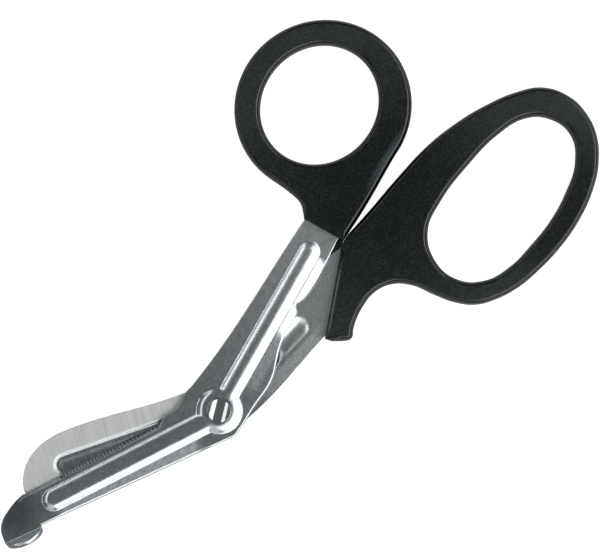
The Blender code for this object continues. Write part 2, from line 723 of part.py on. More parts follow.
# Pivot: a flat nut with a post that both halves turn on, and a slotted screw down its bore
post_top = HEAD_SEAT - GAP
bore = SCREW_RADIUS + GAP
nut_chamfer = GAP
pivot_nut = turned("pivot_nut", [
    (0.0, NUT_FLOOR),
    (bore, NUT_FLOOR),
    (bore, post_top),
    (POST_RADIUS, post_top),
    (POST_RADIUS, NUT_THICKNESS),
    (NUT_RADIUS, NUT_THICKNESS),
    (NUT_RADIUS, nut_chamfer),
    (NUT_RADIUS - nut_chamfer, 0.0),
    (0.0, 0.0),
], parts)
pivot_nut.data.materials.append(screw_steel)

dome = []
dome_steps = 6
for step in range(dome_steps + 1):
    turn = math.pi / 2 * step / dome_steps
    dome.append((HEAD_RADIUS * math.sin(turn),
                 HEAD_SEAT + HEAD_RIM + (HEAD_HEIGHT - HEAD_RIM) * math.cos(turn)))
pivot_screw = turned("pivot_screw", dome + [
    (HEAD_RADIUS, HEAD_SEAT),
    (SCREW_RADIUS, HEAD_SEAT),
    (SCREW_RADIUS, NUT_FLOOR + GAP),
    (0.0, NUT_FLOOR + GAP),
], parts)
bpy.ops.mesh.primitive_cube_add(size=1.0)
slot = bpy.context.object
slot.name = "screw_slot"
slot_low = HEAD_SEAT + HEAD_HEIGHT - SLOT_DEPTH
slot.data.transform(Matrix.Rotation(math.radians(SLOT_ANGLE), 4, "Z")
                    @ Matrix.Translation((0, 0, slot_low + HEAD_HEIGHT / 2))
                    @ Matrix.Diagonal((4 * HEAD_RADIUS, SLOT_WIDTH, HEAD_HEIGHT, 1.0)))
move_to(slot, tools)
boolean(pivot_screw, hide_tool(slot), "DIFFERENCE")
pivot_screw.data.materials.append(screw_steel)

# The front half turns about the pivot
thumb_half = bpy.data.objects.new("thumb_half_axis", None)
parts.objects.link(thumb_half)
for body in (lower_blade, thumb_ring):
    body.parent = thumb_half
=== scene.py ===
import math

import bmesh
import bpy
import numpy as np
from mathutils import Matrix, Vector


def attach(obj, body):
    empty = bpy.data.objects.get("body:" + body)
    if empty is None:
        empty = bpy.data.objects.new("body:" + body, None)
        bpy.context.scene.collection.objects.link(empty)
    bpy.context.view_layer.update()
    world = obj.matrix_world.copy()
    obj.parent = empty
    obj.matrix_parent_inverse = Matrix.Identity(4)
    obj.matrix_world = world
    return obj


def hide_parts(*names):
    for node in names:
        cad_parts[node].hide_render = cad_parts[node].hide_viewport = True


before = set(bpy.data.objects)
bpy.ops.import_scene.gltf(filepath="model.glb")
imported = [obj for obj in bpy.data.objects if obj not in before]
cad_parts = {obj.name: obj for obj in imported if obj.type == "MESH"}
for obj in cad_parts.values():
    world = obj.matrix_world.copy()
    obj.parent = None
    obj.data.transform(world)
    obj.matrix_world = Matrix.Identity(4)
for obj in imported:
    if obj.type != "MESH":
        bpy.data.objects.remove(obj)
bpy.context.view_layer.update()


# Front half of the shears. One stamping of 1.5 mm stainless sheet: a blade and a shank that meet
# at an angle over the pivot, with a rib pressed along each, a round boss round the pivot, a
# serrated cutting edge and a half-round foot folded up at the toe. Tumbled to a soft polish.

SHEET = 0.0015
FRONT_SHANK = 25.3
LOWER_BLADE = 172.1
SPINE = 169.7
FRONT_INNER = 0.0046
RIB_HEIGHT = 0.0010
BOSS_HEIGHT = 0.0011
SPINE_OFFSET = 0.0078
FOLD_INNER_RADIUS = 0.0008
FOLD_ANGLE = math.radians(55.0)
LOWER_EDGE = 0.0040
GRIND_WIDTH = 0.0011
TOOTH_PITCH = 0.0010
TOOTH_DEPTH = 0.00028
TOOTH_SHARE = 0.7
TEETH_START, TEETH_END = 0.0163, 0.0563
POST_HOLE = 0.0026


def at(angle, along, across=0.0):
    """Points ALONG a line that leaves the pivot at ANGLE degrees, and ACROSS to its left."""
    turn = math.radians(angle)
    along, across = np.asarray(along, float), np.asarray(across, float)
    return np.stack([along * math.cos(turn) - across * math.sin(turn),
                     along * math.sin(turn) + across * math.cos(turn)], axis=-1)


SPAN_STEPS = 24
SPAN_TO_TANGENT = 2.6


def fair(points, smooth, steps):
    """A line through points, split STEPS times a span, with how far along the points each lies.

    Each span is a cubic whose end tangents follow the average direction of its two neighbours at
    a smooth point, and the span itself at a corner: p = sum of the four Bernstein terms. The
    inner two points lie the span's length / SPAN_TO_TANGENT along the tangents.
    """
    points = np.asarray(points, float)
    smooth = np.asarray(smooth, bool)
    span = np.diff(points, axis=0)
    length = np.linalg.norm(span, axis=1, keepdims=True)
    unit = span / length
    mean = unit[:-1] + unit[1:]
    mean /= np.linalg.norm(mean, axis=1, keepdims=True)
    leaving, arriving = unit.copy(), unit.copy()
    leaving[1:][smooth[1:-1]] = mean[smooth[1:-1]]
    arriving[:-1][smooth[1:-1]] = mean[smooth[1:-1]]
    t = np.linspace(0, 1, steps, endpoint=False)[None, :, None]
    first, last = points[:-1, None], points[1:, None]
    reach = length[:, None] / SPAN_TO_TANGENT
    second, third = first + leaving[:, None] * reach, last - arriving[:, None] * reach
    line = ((1 - t) ** 3 * first + 3 * t * (1 - t) ** 2 * second
            + 3 * t ** 2 * (1 - t) * third + t ** 3 * last)
    line = np.vstack([line.reshape(-1, 2), points[-1]])
    return line, np.arange(len(line)) / steps


def side(control, stations):
    """The point of a boundary at each station. CONTROL rows are station, x, y, smooth."""
    control = np.asarray(control, float)
    line, index = fair(control[:, 1:3], control[:, 3], SPAN_STEPS)
    station = np.interp(index, np.arange(len(control)), control[:, 0])
    return np.stack([np.interp(stations, station, line[:, k]) for k in (0, 1)], axis=-1)


def ease(x):
    """A smooth step from 0 to 1: 3x^2 - 2x^3."""
    x = np.clip(x, 0, 1)
    return x * x * (3 - 2 * x)


FILLET = 0.08
BLEND = 0.0003


def swell(distance, top, foot, height, fillet=FILLET):
    """Height of a pressed form at a DISTANCE from its middle line: flat to TOP, level at FOOT.

    With t from 0 at the foot to 1 at the top and f the fillet's share, it is t^2 / f in the tight
    fillet and 1 - (1 - t)^2 / (1 - f) on the broad shoulder.
    """
    t = np.clip((foot - distance) / (foot - top), 0, 1)
    return height * np.where(t < fillet, t * t / fillet, 1 - (1 - t) ** 2 / (1 - fillet))


def from_line(xy, start, end):
    """Distance of each point from the straight line between two points."""
    run = end - start
    t = np.clip(((xy - start) @ run) / (run @ run), 0, 1)
    return np.linalg.norm(xy - start - t[..., None] * run, axis=-1)


def pressed(forms):
    """The heights of several pressed forms together, which blend in a fillet where they meet.

    The higher of two, plus k (1 - |a - b| / k)^2 / 4 where they differ by less than the blend k.
    """
    together = forms[0]
    for form in forms[1:]:
        near = np.clip(1 - np.abs(together - form) / BLEND, 0, 1)
        near *= np.minimum(together, form) / np.maximum(np.maximum(together, form), 1e-9)
        together = np.maximum(together, form) + BLEND * near ** 2 / 4
    return together


EVEN_COLUMNS = 46


def across_row(left, right, near):
    """Rows of points from a left boundary to a right one, closer together near each end.

    NEAR lists the distances from the boundary of the close ones. The others divide what is left
    evenly. It gives the points and each one's distance from either boundary.
    """
    width = np.linalg.norm(right - left, axis=1)[:, None]
    near = np.asarray(near)[None]
    inside = near[:, -1:] + (width - 2 * near[:, -1:]) * np.linspace(0, 1, EVEN_COLUMNS)[None, 1:-1]
    ends = np.broadcast_to(near, (len(width), near.shape[1]))
    reach = np.hstack([ends, inside, width - ends[:, ::-1]])
    xy = left[:, None] + (right - left)[:, None] * (reach / width)[..., None]
    return xy, reach, width - reach


def rounded_drop(distance, radius):
    """How far a face falls at a DISTANCE from its rim, so that the rim is a quarter round."""
    inside = np.clip(radius - distance, 0, radius)
    return radius - np.sqrt(radius ** 2 - inside ** 2)


def fold_up(xy, height, inner_level):
    """Fold what lies beyond the spine up, at a true bend radius. HEIGHT is above the inner face.

    In the bend a point turns about the bend's centre by the angle that its distance fills on the
    sheet's middle, and beyond it goes straight on along the turned sheet.
    """
    out = at(SPINE, 0.0, 1.0)
    beyond = xy @ out - SPINE_OFFSET
    middle = FOLD_INNER_RADIUS + SHEET / 2
    turn = np.clip(beyond / middle, 0, FOLD_ANGLE)
    rest = np.clip(beyond - middle * FOLD_ANGLE, 0, None)
    radius = SHEET + FOLD_INNER_RADIUS - height
    new_beyond = np.where(beyond > 0, radius * np.sin(turn) + rest * np.cos(turn), beyond)
    new_height = np.where(beyond > 0, SHEET + FOLD_INNER_RADIUS - radius * np.cos(turn)
                          + rest * np.sin(turn), height)
    moved = xy + (new_beyond - beyond)[..., None] * out
    return np.dstack([moved, inner_level + new_height])


def ground_edge(outer, inner, from_edge, ground):
    """Outer and inner heights with a bevel ground on the outer face, where GROUND is 1.

    The bevel rises from KEEN at the edge to the sheet's thickness at GRIND_WIDTH, and lies far
    above the face where GROUND is 0. The inner face stays at least half of KEEN below it.
    """
    bevel = KEEN + from_edge * (SHEET - KEEN) / GRIND_WIDTH + (1 - ground) * 3 * SHEET
    outer = np.minimum(outer, bevel)
    return outer, np.where(outer < inner + KEEN / 2, outer - KEEN / 2, inner)


def quads(number):
    """The four-cornered faces between neighbours in a grid of point numbers."""
    return np.stack([number[:-1, :-1], number[1:, :-1], number[1:, 1:], number[:-1, 1:]], -1)


def band(number):
    """The faces of a grid of point numbers whose first row follows its last, as a list."""
    return quads(np.vstack([number, number[:1]])).reshape(-1, 4).tolist()


def sheet_piece(name, outer, inner, hole_radius):
    """A mesh from an outer and an inner grid of points, joined round all four sides.

    Faces whose middle lies inside the pivot's hole are left out, the corners round that opening
    are moved to the true circle, and the opening gets its wall.
    """
    rows, columns = outer.shape[:2]
    number = np.arange(rows * columns).reshape(rows, columns)
    middle = (outer[:-1, :-1] + outer[1:, :-1] + outer[:-1, 1:] + outer[1:, 1:])[..., :2] / 4
    open_faces = np.linalg.norm(middle, axis=-1) < hole_radius
    touched = np.zeros((rows, columns), int)
    for i, j in ((0, 0), (0, 1), (1, 0), (1, 1)):
        touched[i:rows - 1 + i, j:columns - 1 + j] += open_faces
    rim = (touched > 0) & (touched < 4)
    for grid in (outer, inner):
        radius = np.linalg.norm(grid[rim][:, :2], axis=1, keepdims=True)
        grid[rim, :2] *= hole_radius / radius
    keep = ~open_faces
    top = quads(number)[keep]
    bottom = top[:, ::-1] + rows * columns
    walls = []
    solid = np.pad(keep, 1)
    for a, b, here, there in (
            (number[:, :-1], number[:, 1:], solid[1:, 1:-1], solid[:-1, 1:-1]),
            (number[:-1, :], number[1:, :], solid[1:-1, 1:], solid[1:-1, :-1])):
        edge = here != there
        walls.append(np.stack([a[edge], b[edge], b[edge] + rows * columns,
                               a[edge] + rows * columns], -1))
    faces = np.vstack([top, bottom] + walls)
    points = np.vstack([outer.reshape(-1, 3), inner.reshape(-1, 3)])
    used, faces = np.unique(faces, return_inverse=True)
    return finished_mesh(name, points[used], faces.reshape(-1, 4).tolist(), crease=32.0)


def finished_mesh(name, points, faces, crease):
    """An object at the origin from points and faces, facing outwards, sharp past CREASE degrees."""
    mesh = bpy.data.meshes.new(name)
    mesh.from_pydata(np.asarray(points).tolist(), [], faces)
    edit = bmesh.new()
    edit.from_mesh(mesh)
    bmesh.ops.remove_doubles(edit, verts=edit.verts, dist=1e-7)
    bmesh.ops.dissolve_degenerate(edit, edges=edit.edges, dist=1e-7)
    bmesh.ops.recalc_face_normals(edit, faces=edit.faces)
    edit.to_mesh(mesh)
    edit.free()
    mesh.shade_smooth()
    mesh.set_sharp_from_angle(angle=math.radians(crease))
    piece = bpy.data.objects.new(name, mesh)
    bpy.context.scene.collection.objects.link(piece)
    return piece


def spaced(*runs):
    """Stations in runs of (start, end, spacing), joined into one rising list."""
    return np.unique(np.concatenate([np.linspace(a, b, max(2, round((b - a) / s) + 1))
                                     for a, b, s in runs]).round(7))


TANG_END = 0.0700
SHANK_END = 0.0552
EDGE_START, EDGE_END, TOE = 0.0150, 0.0570, 0.0661
TANG_SPACING, ROW_SPACING, TOE_SPACING = 0.0016, 0.00034, 0.00018
front_rows = spaced((-TANG_END, -0.0554, TANG_SPACING), (-SHANK_END, EDGE_START, ROW_SPACING),
                    (EDGE_START, EDGE_END, TOOTH_PITCH / 5), (EDGE_END, TOE, TOE_SPACING))


def edge_rows(angle, *points):
    """Control rows of a boundary: each point's ALONG, ACROSS, whether smooth, and its station.

    The station is ALONG where none is given, and a shank counts it below zero.
    """
    sign = 1 if angle > 90 else -1
    return [(*(station or [sign * along]), *at(angle, along, across), smooth)
            for along, across, smooth, *station in points]


TANG_HALF = 0.0038
front_left = side([
    *edge_rows(FRONT_SHANK, (TANG_END, TANG_HALF, 0), (SHANK_END, TANG_HALF, 0, -0.05525),
               (SHANK_END, 0.0055, 0), (0.0022, 0.0096, 1)),
    *edge_rows(LOWER_BLADE, (0.0055, -0.0085, 1), (0.0087, -0.0063, 1), (0.0108, -0.0055, 1),
               (0.0137, -0.0052, 1), (0.0149, -0.0045, 1), (0.0155, -LOWER_EDGE, 0),
               (0.0564, -LOWER_EDGE, 0), (0.0584, -0.0034, 1, 0.0585), (0.0615, -0.0020, 1, 0.0610),
               (0.0642, -0.0002, 1, 0.0633), (0.0658, 0.0023, 1, 0.0649), (TOE, 0.0045, 0)),
], front_rows)

FOOT_START, FOOT_MIDDLE = 0.0545, 0.0606
FOOT_HALF, FOOT_DEPTH = 0.0053, 0.0040
foot_turn = np.linspace(0, math.pi, 15)
foot_rim = at(SPINE, FOOT_MIDDLE - FOOT_HALF * np.cos(foot_turn),
              SPINE_OFFSET + FOOT_DEPTH * np.sin(foot_turn))
foot_station = FOOT_START + (TOE - FOOT_START) * foot_turn / math.pi
front_right = side([
    *edge_rows(FRONT_SHANK, (TANG_END, -TANG_HALF, 0), (SHANK_END, -TANG_HALF, 0, -0.05525),
               (SHANK_END, -0.0050, 0), (0.0373, -0.0050, 1), (0.0357, -0.0044, 1),
               (0.0346, -0.0038, 1), (0.0340, -0.0040, 1), (0.0326, -0.0051, 1, -0.0327),
               (0.0290, -0.0050, 1), (0.0235, -0.0055, 1), (0.0195, -0.0065, 1),
               (0.0152, -0.0078, 1), (0.0126, -0.0081, 1), (0.0053, -0.0075, 1, -0.0065),
               (-0.0004, -0.0073, 1, -0.0020)),
    *edge_rows(SPINE, (-0.0011, SPINE_OFFSET, 0, 0.0005), (0.0253, SPINE_OFFSET, 0, 0.0250)),
    *[(s, *p, 0 < k < len(foot_turn) - 1)
      for k, (s, p) in enumerate(zip(foot_station, foot_rim))],
], front_rows)

EDGE_STEPS = [0.0, 0.00004, 0.00010, 0.00018, 0.00027, 0.00045, 0.00065, 0.00085, GRIND_WIDTH]
EDGE_ROUND = 0.00025
SPINE_ROUND = 0.00050
BURR_ROUND = 0.00012
KEEN = 0.00006
GRIND_START, GRIND_END = 0.0148, 0.0606
GRIND_IN, GRIND_OUT = 0.0014, 0.0030
BLADE_RIB_FOOT, BLADE_RIB_TOP, BLADE_RIB_HEIGHT = 0.0031, 0.0009, 0.00090
BLADE_RIB_ENDS, BLADE_RIB_ACROSS = (0.0030, 0.0496), 0.0009
SHANK_RIB_FOOT, SHANK_RIB_TOP = 0.0029, 0.0000
SHANK_RIB_ENDS, SHANK_RIB_ACROSS = (0.0020, 0.0482), 0.0002
BOSS_FOOT, BOSS_TOP_GENTLE, BOSS_TOP_STEEP, BOSS_LEAN = 0.0062, 0.0026, 0.0038, -55.0


def boss(xy):
    """The round boss: a low dome, steeper on one side, where the punch pulled the sheet less."""
    off = np.cos(np.arctan2(xy[..., 1], xy[..., 0]) - math.radians(BOSS_LEAN))
    top = BOSS_TOP_GENTLE + (BOSS_TOP_STEEP - BOSS_TOP_GENTLE) * (1 - off) / 2
    return swell(np.linalg.norm(xy, axis=-1), top, BOSS_FOOT, BOSS_HEIGHT)


def along_across(xy, angle):
    """How far along a line from the pivot each point lies, and how far to its left."""
    return xy @ at(angle, 1.0), xy @ at(angle, 0.0, 1.0)


SLIGHT_LEAN, STEEP_LEAN, SPINE_LEAN, EDGE_LEAN = np.tan(np.radians([5.5, 9.5, 9.3, 2.5]))
SLIGHT_START, STEEP_START, LEAN_END = 0.0070, 0.0235, 0.0487
CREASE_SLANT = 0.45
CREASE_WIDTH = 0.0006
LEAN_FADE = 0.0040
BLADE_LEAN_START, BLADE_LEAN_END, BLADE_LEAN_FADE = 0.0060, 0.0525, 0.0050
SPINE_LEAN_FOOT, EDGE_LEAN_FOOT = 0.0040, 0.0024


def droop(xy):
    """How far the flats beside the ribs lean down from level, pulled by the pressing.

    Slope times distance beyond the rib's foot, faded in and out along the rib. On the shank's
    right the lean is steep between two creases and slight below them.
    """
    along, across = along_across(xy, FRONT_SHANK)
    beyond = np.clip(-across - SHANK_RIB_FOOT, 0, 0.0030)
    steep = (ease((LEAN_END - CREASE_SLANT * beyond - along) / CREASE_WIDTH)
             * ease((along - STEEP_START) / LEAN_FADE))
    slight = ease((LEAN_END - along) / CREASE_WIDTH) * ease((along - SLIGHT_START) / LEAN_FADE)
    fall = beyond * (SLIGHT_LEAN * slight + STEEP_LEAN * steep)
    along, across = along_across(xy, LOWER_BLADE)
    inside = (ease((BLADE_LEAN_END - along) / BLADE_LEAN_FADE)
              * ease((along - BLADE_LEAN_START) / LEAN_FADE))
    fall += np.clip(across - SPINE_LEAN_FOOT, 0, 0.0045) * SPINE_LEAN * inside
    fall += np.clip(-across - EDGE_LEAN_FOOT, 0, 0.0020) * EDGE_LEAN * inside
    return fall


xy, from_left, from_right = across_row(front_left, front_right, EDGE_STEPS)
station = front_rows[:, None]
ground = ease((station - GRIND_START) / GRIND_IN) * ease((GRIND_END - station) / GRIND_OUT)
in_teeth = (station > TEETH_START) & (station < TEETH_END)
phase = np.abs((station / TOOTH_PITCH) % 1.0 - 0.5) * 2
tooth = np.where(in_teeth, np.clip((TOOTH_SHARE - phase) / TOOTH_SHARE, 0, 1), 0) * TOOTH_DEPTH
inward = (front_right - front_left) / np.linalg.norm(front_right - front_left, axis=1)[:, None]
share = tooth * np.clip(1 - from_left / GRIND_WIDTH, 0, 1)
from_blade_rib = from_line(xy, *at(LOWER_BLADE, BLADE_RIB_ENDS, BLADE_RIB_ACROSS))
from_shank_rib = from_line(xy, *at(FRONT_SHANK, SHANK_RIB_ENDS, SHANK_RIB_ACROSS))
bump = pressed([
    boss(xy),
    swell(from_blade_rib, BLADE_RIB_TOP, BLADE_RIB_FOOT, BLADE_RIB_HEIGHT),
    swell(from_shank_rib, SHANK_RIB_TOP, SHANK_RIB_FOOT, RIB_HEIGHT),
])
rim = np.minimum(from_left, from_right)
outer_height = (SHEET + bump - droop(xy) - rounded_drop(from_left, EDGE_ROUND)
                - rounded_drop(from_right, SPINE_ROUND))
inner_height = bump + rounded_drop(rim, BURR_ROUND)
outer_height, inner_height = ground_edge(outer_height, inner_height, from_left, ground)
plan = xy + share[..., None] * inward[:, None]
lower_blade = sheet_piece("stamped_front_half", fold_up(plan, outer_height, FRONT_INNER),
                          fold_up(plan, inner_height, FRONT_INNER), POST_HOLE)


def linear(colour):
    """An sRGB hex colour as linear numbers: ((c + 0.055) / 1.055)^2.4, or c / 12.92 when dark."""
    parts = [int(colour[i:i + 2], 16) / 255 for i in (1, 3, 5)]
    return (*[c / 12.92 if c <= 0.04045 else ((c + 0.055) / 1.055) ** 2.4 for c in parts], 1.0)


def feed(made, values):
    """Set a node's inputs, each to a value or a link. A node as the value is its first output."""
    for key, value in values.items():
        if isinstance(value, bpy.types.Node):
            value = value.outputs[0]
        if isinstance(value, bpy.types.NodeSocket):
            made.id_data.links.new(value, made.inputs[key])
        else:
            made.inputs[key].default_value = value


def node(tree, kind, values=None, **settings):
    """Add a shader node, with its settings and with its inputs as feed() takes them."""
    made = tree.nodes.new("ShaderNode" + kind)
    for key, value in settings.items():
        setattr(made, key, value)
    feed(made, values or {})
    return made


def new_material(name, values):
    """A material with its one shader, which gets its constants, and the shader's node tree."""
    material = bpy.data.materials.new(name)
    material.use_nodes = True
    shader = material.node_tree.nodes["Principled BSDF"]
    feed(shader, values)
    return material, shader, material.node_tree


# Stainless sheet, grade 420, stamped and then tumbled: a soft polish with faint draw marks that
# run along the shank, and 1 mm knocks from the tumbling stones. Painted reflection: the colour is
# painted darkest at the toe and paler towards the handles. Towards the handles, where the stones
# reach less, the steel is also duller.
KNOCKS = {"Scale": 900.0, "Detail": 4.0, "Roughness": 0.65}
tumbled, shader, tree = new_material("Tumbled stainless steel 420", {"Metallic": 1.0})
coordinate = node(tree, "TexCoord").outputs["Object"]
along_shank = node(tree, "Mapping", {
    "Vector": coordinate, "Rotation": (0, 0, math.radians(FRONT_SHANK)),
    "Scale": (0.0016, 0.0006, 0.0006)}, vector_type="TEXTURE")
draw_marks = node(tree, "TexNoise", {
    "Vector": along_shank, "Scale": 1.0, "Detail": 3.0, "Roughness": 0.6})
knocks = node(tree, "TexNoise", {"Vector": coordinate, **KNOCKS})
waves = node(tree, "TexNoise", {"Vector": coordinate, "Scale": 90.0, "Detail": 2.0})
place = node(tree, "SeparateXYZ", {"Vector": coordinate}).outputs["X"]
# Painted reflection: the colour is painted paler towards the handles and darkest at the toe.
to_handle = node(tree, "MapRange", {
    "Value": place, "From Min": -0.004, "From Max": 0.052, "To Max": 0.42})
from_toe = node(tree, "VectorMath", {0: coordinate, 1: (-0.060, 0.010, FRONT_INNER)},
                operation="DISTANCE").outputs["Value"]
off_toe = node(tree, "MapRange", {
    "Value": from_toe, "From Min": 0.0030, "From Max": 0.0105, "To Max": 0.5})
painted_reflection = node(tree, "Math", {0: to_handle, 1: off_toe}, operation="ADD")
marks = node(tree, "Math", {0: draw_marks, 1: knocks}, operation="ADD")
shade = node(tree, "Math", {0: marks, 1: 0.42, 2: painted_reflection}, operation="MULTIPLY_ADD")
shade = node(tree, "MapRange", {"Value": shade, "From Min": 0.42, "From Max": 1.44})
tone = node(tree, "ValToRGB", {"Fac": shade})
stops = tone.color_ramp.elements
stops[0].color = linear("#80868A")
stops.new(0.47).color = linear("#A9AFB1")
stops[2].color = linear("#D2D6D8")
dull = node(tree, "MapRange", {"Value": knocks, "To Min": 0.13, "To Max": 0.24})
# The painted reflection's share also makes the steel duller towards the handles.
dull = node(tree, "Math", {0: painted_reflection, 1: 0.12, 2: dull}, operation="MULTIPLY_ADD")
relief = node(tree, "Math", {0: knocks, 1: waves}, operation="ADD")
relief = node(tree, "Bump", {"Height": relief, "Strength": 0.10, "Distance": 0.0001})
feed(shader, {"Base Color": tone, "Roughness": dull, "Normal": relief})
lower_blade.data.materials.append(tumbled)
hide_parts("lower_blade")
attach(lower_blade, "thumb_half")


# Rear half of the shears. The same sheet, stamped without foot or teeth: its ribs and boss stand
# out behind, so that the front shows them as troughs, and its inner face is ground flat across
# the blade.

REAR_SHANK = 11.9
UPPER_BLADE = 164.2
REAR_OUTER = 0.0028
UPPER_EDGE = 0.0053
FINGER_FRONT = 44.8
FRONT_OFFSET = 0.0240
MOULDED_OVER = 0.0002


def crossing(angle_a, across_a, angle_b, across_b):
    """Where two straight edges meet, each given by its direction and its distance to the left."""
    a, b = math.radians(angle_a), math.radians(angle_b)
    along = (across_a * math.cos(b - a) - across_b) / math.sin(b - a)
    return at(angle_a, along, across_a)


REAR_TANG_END, REAR_SHANK_END, TIP_START, REAR_TOE = 0.0640, 0.0530, 0.0400, 0.0557
TIP_SPACING = 0.00022
STOP_ACROSS = -0.00628
EAR_END = 0.0549
rear_rows = spaced((-REAR_TANG_END, -REAR_SHANK_END, TANG_SPACING),
                   (-REAR_SHANK_END, TIP_START, ROW_SPACING), (TIP_START, REAR_TOE, TIP_SPACING))
shoulder = -FRONT_OFFSET - MOULDED_OVER
stop_edge = STOP_ACROSS - MOULDED_OVER
rear_left = side([
    *edge_rows(REAR_SHANK, (REAR_TANG_END, TANG_HALF, 0)),
    (-0.0531, *crossing(REAR_SHANK, TANG_HALF, FINGER_FRONT, shoulder), 0),
    (-REAR_SHANK_END, *crossing(FINGER_FRONT, shoulder, FRONT_SHANK, stop_edge), 0),
    *edge_rows(FRONT_SHANK, (EAR_END, stop_edge, 0, -0.0526),
               (EAR_END, STOP_ACROSS + 0.0032, 0, -0.0518)),
    *edge_rows(REAR_SHANK, (0.0470, 0.0057, 0, -0.0440), (0.0060, 0.0078, 1)),
    (0.0, *at(REAR_SHANK + 76.0, 0.0084), 1),
    *edge_rows(UPPER_BLADE, (0.0060, -0.0076, 1), (0.0400, -0.0085, 1), (0.0449, -0.0079, 1),
               (0.0491, -0.0063, 1), (0.0522, -0.0041, 1, 0.0516), (0.0541, -0.0016, 1, 0.0531),
               (0.0553, 0.0011, 1, 0.0544), (0.0556, 0.0030, 0, REAR_TOE)),
], rear_rows)
REAR_SHANK_EDGE = -0.0068
HEEL_ROUND = 0.0012
heel = crossing(REAR_SHANK, REAR_SHANK_EDGE, UPPER_BLADE, UPPER_EDGE)
rear_right = side([
    *edge_rows(REAR_SHANK, (REAR_TANG_END, -TANG_HALF, 0)),
    (-0.0531, *crossing(REAR_SHANK, -TANG_HALF, FINGER_FRONT, shoulder), 0),
    (-REAR_SHANK_END, *crossing(REAR_SHANK, REAR_SHANK_EDGE, FINGER_FRONT, shoulder), 0),
    (-0.0020, *(heel + at(REAR_SHANK, HEEL_ROUND)), 1),
    (0.0020, *(heel + at(UPPER_BLADE, HEEL_ROUND)), 1),
    *edge_rows(UPPER_BLADE, (0.0515, UPPER_EDGE, 1, 0.0510), (0.0541, 0.0051, 1, 0.0538),
               (0.0554, 0.0040, 0, REAR_TOE)),
], rear_rows)

TROUGH_ENDS = (0.0020, 0.0432)
TROUGH_FLOOR, TROUGH_EDGE = 0.0021, 0.0032
TROUGH_LIP, TROUGH_SAG, TROUGH_FILLET = 0.00040, 0.00020, 0.5
REAR_RIB_ENDS, REAR_RIB_ACROSS = (0.0020, 0.0303), (0.0, -0.0003)
REAR_RIB_FOOT, REAR_RIB_HEIGHT, REAR_FILLET = 0.0036, 0.00078, 0.35
REAR_LEAN = math.tan(math.radians(5.0))
REAR_LEAN_START, REAR_LEAN_END = 0.0080, 0.0400
REAR_GRIND_START = 0.0095
xy, from_left, from_right = across_row(rear_left, rear_right, EDGE_STEPS)
station = rear_rows[:, None]
ground = ease((station - REAR_GRIND_START) / GRIND_IN)
from_trough = from_line(xy, *at(UPPER_BLADE, TROUGH_ENDS))
from_rib = from_line(xy, *at(REAR_SHANK, REAR_RIB_ENDS, REAR_RIB_ACROSS))
bump = pressed([
    boss(xy),
    swell(from_trough, TROUGH_FLOOR, TROUGH_EDGE, TROUGH_LIP, TROUGH_FILLET)
    + swell(from_trough, 0, TROUGH_FLOOR, TROUGH_SAG, TROUGH_FILLET),
    swell(from_rib, SHANK_RIB_TOP, REAR_RIB_FOOT, REAR_RIB_HEIGHT, REAR_FILLET),
])
along, across = along_across(xy, REAR_SHANK)
bump += (np.clip(-across - REAR_RIB_FOOT, 0, 0.0035) * REAR_LEAN
         * ease((along - REAR_LEAN_START) / 0.0060) * ease((REAR_LEAN_END - along) / 0.0100))
rim = np.minimum(from_left, from_right)
back_height = SHEET + bump - rounded_drop(rim, EDGE_ROUND)
face_height = bump + rounded_drop(rim, BURR_ROUND)
back_height, face_height = ground_edge(back_height, face_height, from_right, ground)
REAR_INNER = REAR_OUTER + SHEET
upper_blade = sheet_piece("stamped_rear_half", np.dstack([xy, REAR_INNER - back_height]),
                          np.dstack([xy, REAR_INNER - face_height]), POST_HOLE)

# The same stainless sheet, its blade ground flat with a fine belt across: pale, with grit lines
# of about 0.3 mm. The trough and the shank keep the dark tumbled skin. The attribute is 1 where
# the belt reached, which is down to 0.08 mm below the flat.
BELT_REACH = 0.00008
BELT_FADE = 0.0020
count = len(upper_blade.data.vertices)
places = np.empty(count * 3)
upper_blade.data.vertices.foreach_get("co", places)
places = places.reshape(-1, 3)
along, across = along_across(places[:, :2], UPPER_BLADE)
level = np.clip((places[:, 2] - REAR_INNER) / BELT_REACH + 1, 0, 1)
upper_blade.data.attributes.new("ground", "FLOAT", "POINT").data.foreach_set(
    "value", level * ease((along + BELT_FADE) / BELT_FADE))
ground_steel, shader, tree = new_material("Belt ground stainless steel 420", {"Metallic": 1.0})
coordinate = node(tree, "TexCoord").outputs["Object"]
share = node(tree, "Attribute", attribute_name="ground").outputs["Fac"]
across_blade = node(tree, "Mapping", {
    "Vector": coordinate, "Rotation": (0, 0, math.radians(UPPER_BLADE - 2)),
    "Scale": (0.00030, 0.012, 0.002)}, vector_type="TEXTURE")
grit = node(tree, "TexNoise", {
    "Vector": across_blade, "Scale": 1.0, "Detail": 3.0, "Roughness": 0.65})
knocks = node(tree, "TexNoise", {"Vector": coordinate, **KNOCKS})
pale = node(tree, "ValToRGB", {"Fac": grit})
stops = pale.color_ramp.elements
stops[0].position = 0.30
stops[0].color = linear("#C3C5C5")
stops[1].position = 0.70
stops[1].color = linear("#DBDCDC")
place = node(tree, "SeparateXYZ", {"Vector": coordinate}).outputs["X"]
